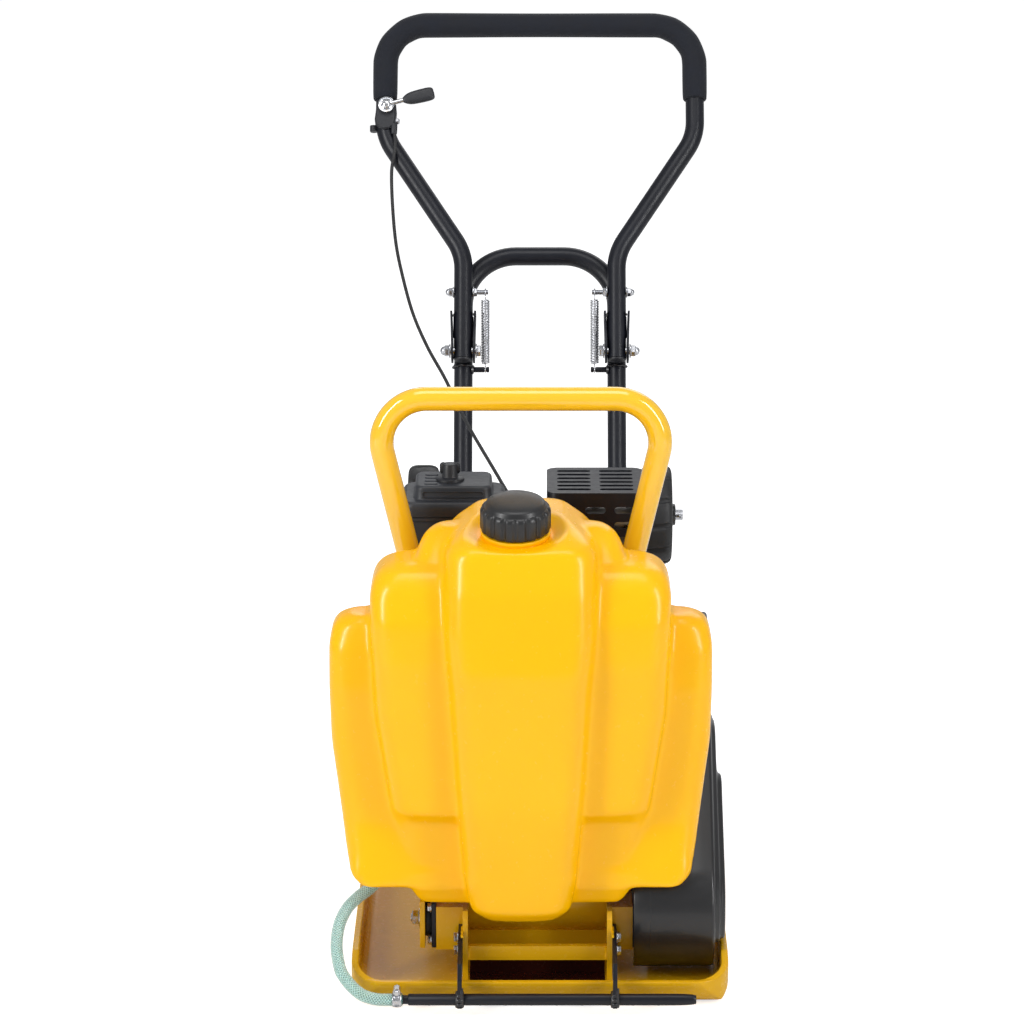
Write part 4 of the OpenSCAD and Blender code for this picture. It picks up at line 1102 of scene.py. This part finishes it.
def make_spray_bar():
    bm = bmesh.new()
    rows = [(4.4, -168), (5.0, -167.6), (5.2, -167)]
    for k in range(3):
        rows += [(5.7, -164 + 4 * k), (5.15, -163.4 + 4 * k)]
    rows += [(5.2, -150.6), (6.4, -150), (6.75, -149.4), (6.75, 150), (6.7, 160), (6.4, 168), (5.8, 174),
             (5.2, 177.4), (4.6, 178)]
    lathe(bm, [(0.0001, -0.167), (0.004, -0.167)] + [(r * MM, h * MM) for r, h in rows] + [(0.0001, 0.1775)],
          at_front(0, -18, 20), ACROSS, 36)
    put(new_object("spray_pipe", bm, "black_steel", 35), "base", "spray_bar")
    bm = bmesh.new()
    for k in range(10):
        lathe(bm, [(0.0001, 0.0060), (0.0013, 0.0060), (0.0013, 0.00685), (0.0001, 0.00685)],
              at_front(-126 + 29 * k, -18, 20), Vector((0, -0.5, -1)), 12)
    put(new_object("spray_holes", bm, "dull_plastic", 35), "base")


def make_hose_clamp():
    bm = bmesh.new()
    c = at_front(0, -18, 20)
    lathe(bm, [(0.0078, -0.168), (0.0087, -0.168), (0.0090, -0.1674), (0.0084, -0.1668), (0.0084, -0.1592),
               (0.0090, -0.1586), (0.0087, -0.158), (0.0078, -0.158), (0.0078, -0.168)], c, ACROSS, 44)
    for k in range(22):
        a = math.radians(120 + 13 * k)
        turn = Matrix.Rotation(a, 4, "X")
        block(bm, (-0.1655, -0.0004, 0.0080), (-0.1605, 0.0004, 0.0089), Matrix.Translation(c) @ turn)
    housing = [(-167, 28.6), (-167, 33.4), (-165.6, 35), (-160.4, 35), (-159, 33.4), (-159, 28.6)]
    slab(bm, housing, -24, -12, lambda p, q, h: at_front(p, h, q))
    back = Vector((0, -1, 0))
    hexagon(bm, at_front(-163, -24, 31.6), back, 0.0058, 0.0034)
    lathe(bm, [(0.0001, 0), (0.0026, 0), (0.0026, 0.0045), (0.0001, 0.0045)],
          at_front(-163, -12, 31.6), -back, 16)
    put(new_object("clamp_band", bm, "zinc", 30), "base", "hose_clamp")


HOSE_ROUTE = [(-186, -170, 135.4), (-186.2, -170.1, 130.4), (-189, -171.5, 121.5), (-197, -176.5, 113.5),
              (-210.5, -187, 106.5), (-223, -204, 98), (-231, -224.5, 85), (-233, -245, 67.1),
              (-228.7, -265, 49.8), (-223.2, -273.5, 41.6), (-215.8, -280, 34.3), (-208.3, -284, 28.5),
              (-200, -286.5, 24), (-186, -288, 20.5), (-168.6, -288, 20)]


def make_hose():
    path = spline([Vector(p) * MM for p in HOSE_ROUTE], 10)
    # the ends slip over the valve's tail and the pipe's barb
    path.append(path[-1] + Vector((0.012, 0, 0)))
    bm = bmesh.new()
    tube(bm, path, 0.0073, 28, inner=0.0052)
    hose = new_object("hose_wall", bm, "clear_hose", 60)
    bm = bmesh.new()
    fr = frame_along(path)
    threads, twist = 9, 2 * math.pi / 0.030
    for way in (-1, 1):
        for k in range(threads):
            run, pts = 0.0, []
            for i, (p, u, v, _) in enumerate(fr):
                if i:
                    run += (p - fr[i - 1][0]).length
                a = 2 * math.pi * k / threads + way * twist * run
                pts.append(p + (u * math.cos(a) + v * math.sin(a)) * 0.0063)
            tube(bm, spline(pts[::2], 3), 0.00042, 5)
    braid = new_object("hose_braid", bm, "braid", 80)
    for piece in (hose, braid):
        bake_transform(piece)
    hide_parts("water_hose")


def make_mounts():
    """Turned rubber bobbins between deck and base, bulged where they are squeezed."""
    bm = bmesh.new()
    profile = [(0.0053, 0.0), (0.0204, 0.0), (0.0212, 0.0008), (0.0214, 0.0030), (0.0210, 0.0066),
               (0.0202, 0.0074), (0.0156, 0.0075), (0.0155, 0.0200), (0.0140, 0.0243), (0.0053, 0.0243),
               (0.0053, 0.0)]
    for yc in (100, 440):
        lathe(bm, profile, at_front(-132.9, yc, 75), ACROSS, 40)
        lathe(bm, profile, at_front(119.9, yc, 75), -ACROSS, 40)
    put(new_object("bobbins", bm, "rubber", 40), "base", "mount_rubbers")


def make_bolts():
    left, right, up = (-1, 0, 0), (1, 0, 0), (0, 0, 1)
    bm = bmesh.new()
    for z in (50, 66):
        hexagon(bm, at_front(-94, 60, z), Vector(left), 0.010, 0.004)
        hexagon(bm, at_front(88, 60, z), Vector(right), 0.010, 0.004)
    for yc in (100, 440):
        for dy in (-20, 20):
            for dz in (-20, 20):
                hexagon(bm, at_front(-125.3, yc + dy, 75 + dz), Vector(left), 0.009, 0.0034)
                hexagon(bm, at_front(112.3, yc + dy, 75 + dz), Vector(right), 0.009, 0.0034)
    put(new_object("base_hexes", bm, "zinc", 30), "base", "base_bolts")
    bm = bmesh.new()
    for yc in (100, 440):
        for x, way in ((-139, left), (126, right)):
            c = at_front(x, yc, 75)
            hexagon(bm, c, Vector(way), 0.015, 0.008)
            thread = [(0.0001, 0.0)]
            for k in range(11):
                thread += [(0.0046, 0.001 * k), (0.0050, 0.001 * k + 0.0005)]
            thread += [(0.0044, 0.011), (0.0001, 0.011)]
            lathe(bm, thread, c, Vector(way), 20)
    for s in (-1, 1):
        hexagon(bm, at_front(-22 + s * 118, 234, 206), Vector(up), 0.013, 0.007)
        for yc in (292, 430):
            hexagon(bm, at_front(s * 85, yc, 214), Vector(up), 0.012, 0.006)
        hexagon(bm, at_front(s * 99 - 16.1, 619, 236), Vector(left), 0.011, 0.0045)
        hexagon(bm, at_front(s * 99 + 16.1, 619, 236), Vector(right), 0.011, 0.0045)
        lathe(bm, [(0.0001, -0.016), (0.004, -0.016), (0.004, 0.016), (0.0001, 0.016)],
              at_front(s * 99, 619, 236), ACROSS, 16)
    put(new_object("deck_hexes", bm, "zinc", 30), "deck", "deck_bolts")


make_base_welds()
make_spray_bar()
make_hose_clamp()
make_hose()
make_mounts()
make_bolts()


# ---------------------------------------------------------------- belt guard
def two_circle_loop(y1, z1, r1, y2, z2, r2, x, n=32):
    """Belt-like outline round two circles, (yc, z), as points at one x."""
    d = math.hypot(y2 - y1, z2 - z1)
    f = math.atan2(z2 - z1, y2 - y1)
    t = math.acos((r1 - r2) / d)
    pts = []
    for i in range(n + 1):
        a = f + t + (2 * math.pi - 2 * t) * i / n
        pts.append(at_front(x, y1 + r1 * math.cos(a), z1 + r1 * math.sin(a)))
    for i in range(n + 1):
        a = f - t + 2 * t * i / n
        pts.append(at_front(x, y2 + r2 * math.cos(a), z2 + r2 * math.sin(a)))
    return pts


def make_belt_guard():
    # x, radius of the nose, radius of the rear, distance of the rear circle from the nose
    full = math.hypot(360 - 122, 306 - 88)
    rows = [(198.5, 30, 20, full), (198.5, 73, 57, full), (127.0, 73, 57, full), (126.4, 73.6, 57.6, full),
            (126.4, 75.6, 59.6, full), (127, 76, 60, full), (128, 76, 60, full), (197.6, 76, 60, full),
            (199.6, 75.4, 59.4, full), (200.9, 74, 58, full), (201.5, 71.8, 55.8, full),
            (201.7, 67.5, 50, 262), (202.3, 64.6, 44.5, 222), (203.6, 63, 41.5, 204), (206.0, 62.2, 40.4, 197),
            (207.4, 60.8, 39, 196), (208.0, 58.4, 37, 192), (208.2, 55.6, 36, 158), (208.9, 53.6, 34.8, 136),
            (210.6, 52.4, 34.2, 131), (213.0, 51.4, 33.4, 130.3), (214.1, 49.6, 31.8, 130.2),
            (214.5, 46.6, 29, 130.2), (214.5, 16, 9, 120)]
    loops = []
    for x, nose, rear, back in rows:
        share = back / full
        loop = two_circle_loop(122, 88, nose, 122 + 238 * share, 88 + 218 * share, rear, x)
        if x > 201.6 and nose > 40:
            # the outer bulge has a flat underside, above the base plate's side wall
            for p in loop:
                p.z = max(p.z, 0.0562)
        loops.append(loop)
    bm = bmesh.new()
    rings(bm, loops)
    # rolled edge that reaches inward round the nose
    loops = []
    for x, r in ((127, 73.4), (108.8, 73.4), (108, 74), (108, 75.4), (108.8, 76), (127, 76)):
        loops.append([at_front(x, 122 + r * math.cos(a), 88 + r * math.sin(a)) for a in
                      (math.radians(132 + 120 * k / 24) for k in range(25))])
    cols = [[bm.verts.new(p) for p in loop] for loop in loops]
    n = len(cols)
    for i in range(n):
        for j in range(24):
            a, b = cols[i], cols[(i + 1) % n]
            bm.faces.new((a[j], a[j + 1], b[j + 1], b[j]))
    bm.faces.new([c[0] for c in cols])
    bm.faces.new([c[24] for c in reversed(cols)])
    guard = new_object("guard_pressing", bm, "guard_steel", 50)
    put(guard, "deck", "belt_guard")


make_belt_guard()


# ---------------------------------------------------------------- air cleaner
def make_air_cleaner():
    bm = bmesh.new()
    rows = [(3.0, 452), (0.8, 453.2), (0, 455.5), (0, 508), (0, 509), (1.2, 509.6), (1.2, 511),
            (0, 511.8), (0, 515), (0.8, 516)]
    layers(bm, (-160, -44), (250, 348), 13, rows)
    put(new_object("air_case", bm, "engine_grey", 30), "deck", "air_box")
    bm = bmesh.new()
    rows = [(2.0, 516.2), (0.4, 516.6), (0, 517.6), (0, 527)]
    rows += [(6 * (1 - math.cos(a)), 527 + 7 * math.sin(a))
             for a in (math.radians(15 * k) for k in range(1, 7))]
    layers(bm, (-162, -42), (248, 350), 15, rows)
    rows = [(-3.0, 533.0), (-1.2, 534.0), (0, 536.0), (1.0, 545)]
    rows += [(1 + 4.5 * (1 - math.cos(a)), 545 + 5 * math.sin(a))
             for a in (math.radians(18 * k) for k in range(1, 6))]
    layers(bm, (-148, -56), (262, 338), 12, rows)
    rib = [(0, 549.4), (0.2, 550.6), (0.9, 551.2)]
    for k in range(4):
        layers(bm, (-136, -120), (272 + 14 * k, 277 + 14 * k), 2.4, rib)
    # raised oval moulded on the front of the lid's upper step
    oval = [at_front(-102 + x, 261.2, 541 + z) for x, z in round_rect(72, 7, 3.4, 6)]
    tube(bm, oval + oval[:1], 0.0008, 8)
    put(new_object("air_cover", bm, "engine_grey", 35), "deck", "air_lid")
    bm = bmesh.new()
    c = at_front(-106, 294, 0)
    lathe(bm, [(0.0001, 0.5495), (0.0165, 0.5495), (0.0170, 0.5505), (0.0166, 0.5530), (0.0150, 0.5540),
               (0.0100, 0.5546), (0.0094, 0.5560), (0.0090, 0.5680), (0.0078, 0.5700), (0.0001, 0.5704)],
          c, UPRIGHT, 36)
    for s in (-1, 1):
        loops = []
        wing = ((5, 4.4, 556, 571), (8, 4.2, 556.5, 572), (10.5, 3.8, 558, 571), (12.0, 2.2, 560, 569))
        for d, half, lo, hi in wing:
            mid, rise = (lo + hi) / 2 * MM, (hi - lo) / 2 * MM
            loops.append([c + Vector((s * d * MM, half * MM * math.cos(a), mid + rise * math.sin(a)))
                          for a in (2 * math.pi * k / 20 for k in range(20))])
        rings(bm, loops)
    put(new_object("wing_knob", bm, "dull_plastic", 35), "deck")


make_air_cleaner()


# ---------------------------------------------------------------- wheels
def make_wheel(side):
    name = "left" if side < 0 else "right"
    low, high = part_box("wheel_axle")
    c = Vector((side * 0.1495, low.y * 0.5 + high.y * 0.5, 0.388))
    profile = [(45, -20), (50, -20), (56, -19.6), (60, -18), (62.4, -15), (63.6, -11), (64, -7), (64, 0),
               (64, 7), (63.6, 11), (62.4, 15), (60, 18), (56, 19.6), (50, 20), (45, 20), (43.6, 17),
               (43.6, -17)]
    bm = bmesh.new()
    count = 288
    loops = []
    for i in range(count):
        a = 2 * math.pi * i / count
        # twelve notches across the tread, each with a slight slant
        loop = []
        for r, h in profile:
            g = math.cos(12 * (a + 0.0025 * h))
            deep = max(0.0, min(1.0, (g - 0.80) / 0.12))
            deep = deep * deep * (3 - 2 * deep)
            rr = r - (3.0 * deep if r > 58 else 1.4 * deep if r > 54 else 0)
            loop.append(c + Vector((h * MM, rr * MM * math.cos(a), rr * MM * math.sin(a))))
        loops.append(loop)
    rings(bm, loops, closed=True)
    tyre = new_object("tyre_" + name, bm, "tyre_rubber", 40)
    bm = bmesh.new()
    rim = [(7.3, -25), (12.6, -25), (13.6, -24.4), (14, -23), (14.4, -12), (16, -10.4), (36, -8.4), (38, -9.4),
           (40.6, -17), (42.4, -18.4), (45, -18.4), (45, 18.4), (42.4, 18.4), (40.6, 17), (38, 9.4), (36, 8.4),
           (16, 10.4), (14.4, 12), (14, 23), (13.6, 24.4), (12.6, 25), (7.3, 25), (7.3, -25)]
    lathe(bm, [(r * MM, h * MM) for r, h in rim], c, ACROSS, 64)
    for k in range(6):
        turn = Matrix.Translation(c) @ Matrix.Rotation(math.radians(60 * k + 15), 4, "X")
        for s in (-1, 1):
            lo, hi = (0.0085, 0.0140) if s > 0 else (-0.0140, -0.0085)
            block(bm, (lo, -0.0013, 0.0138), (hi, 0.0013, 0.0390), turn)
    rim = new_object("rim_" + name, bm, "black_plastic", 35)
    body = name + "_wheel"
    put(tyre, body, "wheel_" + name)
    put(rim, body)


make_wheel(-1)
make_wheel(1)


# ---------------------------------------------------------------- carried-over CAD nodes
# material and edge rounding, in millimetres, of each CAD node that is shown as it is
LOOKS = {
    "base_plate": ("yellow_paint", 1.6), "base_frame": ("yellow_paint", 0.8),
    "exciter_housing": ("yellow_paint", 1.2), "exciter_bearings": ("zinc", 0.4),
    "spray_brackets": ("black_steel", 0.6), "mount_flanges": ("black_steel", 0.7),
    "exciter_shaft": ("zinc", 0.6), "exciter_pulley": ("black_steel", 0.6),
    "deck_plate": ("yellow_paint", 0.8), "drive_belt": ("rubber", 0.5), "cap_gasket": ("rubber", 0.3),
    "tank_valve": ("brass", 0.5), "valve_lever": ("red_plastic", 0.8), "crankcase": ("cast_alloy", 1.8),
    "cylinder_head": ("cast_alloy", 0.8), "spark_plug": ("rubber", 1.0), "crankshaft": ("zinc", 0.6),
    "clutch_hub": ("iron", 0.5), "clutch_drum": ("iron", 0.6), "recoil_housing": ("black_plastic", 1.4),
    "pull_grip": ("black_plastic", 1.6), "pull_rope": ("rope", 0.0), "switch_box": ("black_plastic", 1.0),
    "switch_rocker": ("red_plastic", 0.8), "carburettor": ("cast_alloy", 1.4),
    "fuel_lever": ("black_plastic", 0.8), "muffler": ("muffler_steel", 1.5),
    "muffler_guard": ("black_steel", 0.6), "fuel_tank": ("engine_grey", 2.2), "tank_stays": ("zinc", 0.5),
    "fuel_cap": ("black_plastic", 1.5), "oil_plugs": ("oil_cap", 0.8), "control_plate": ("zinc", 0.4),
    "throttle_arm": ("zinc", 0.4), "wheel_frame": ("black_steel", 0.8), "wheel_axle": ("zinc", 0.6),
}


def dress_nodes():
    """Materials for every CAD node, and small rounded edges on the ones that stay in view."""
    for node in sorted(frame["nodes"]):
        obj = bpy.data.objects[node]
        look, width = LOOKS.get(node, ("black_steel", 0.0))
        obj.data.materials.clear()
        obj.data.materials.append(MAT[look])
        if width:
            modifier(obj, "WELD", merge_threshold=0.00002)
            modifier(obj, "DECIMATE", decimate_type="DISSOLVE", angle_limit=math.radians(0.6))
            bevel(obj, width * MM, 2, 32)


dress_nodes()

bpy.context.view_layer.update()
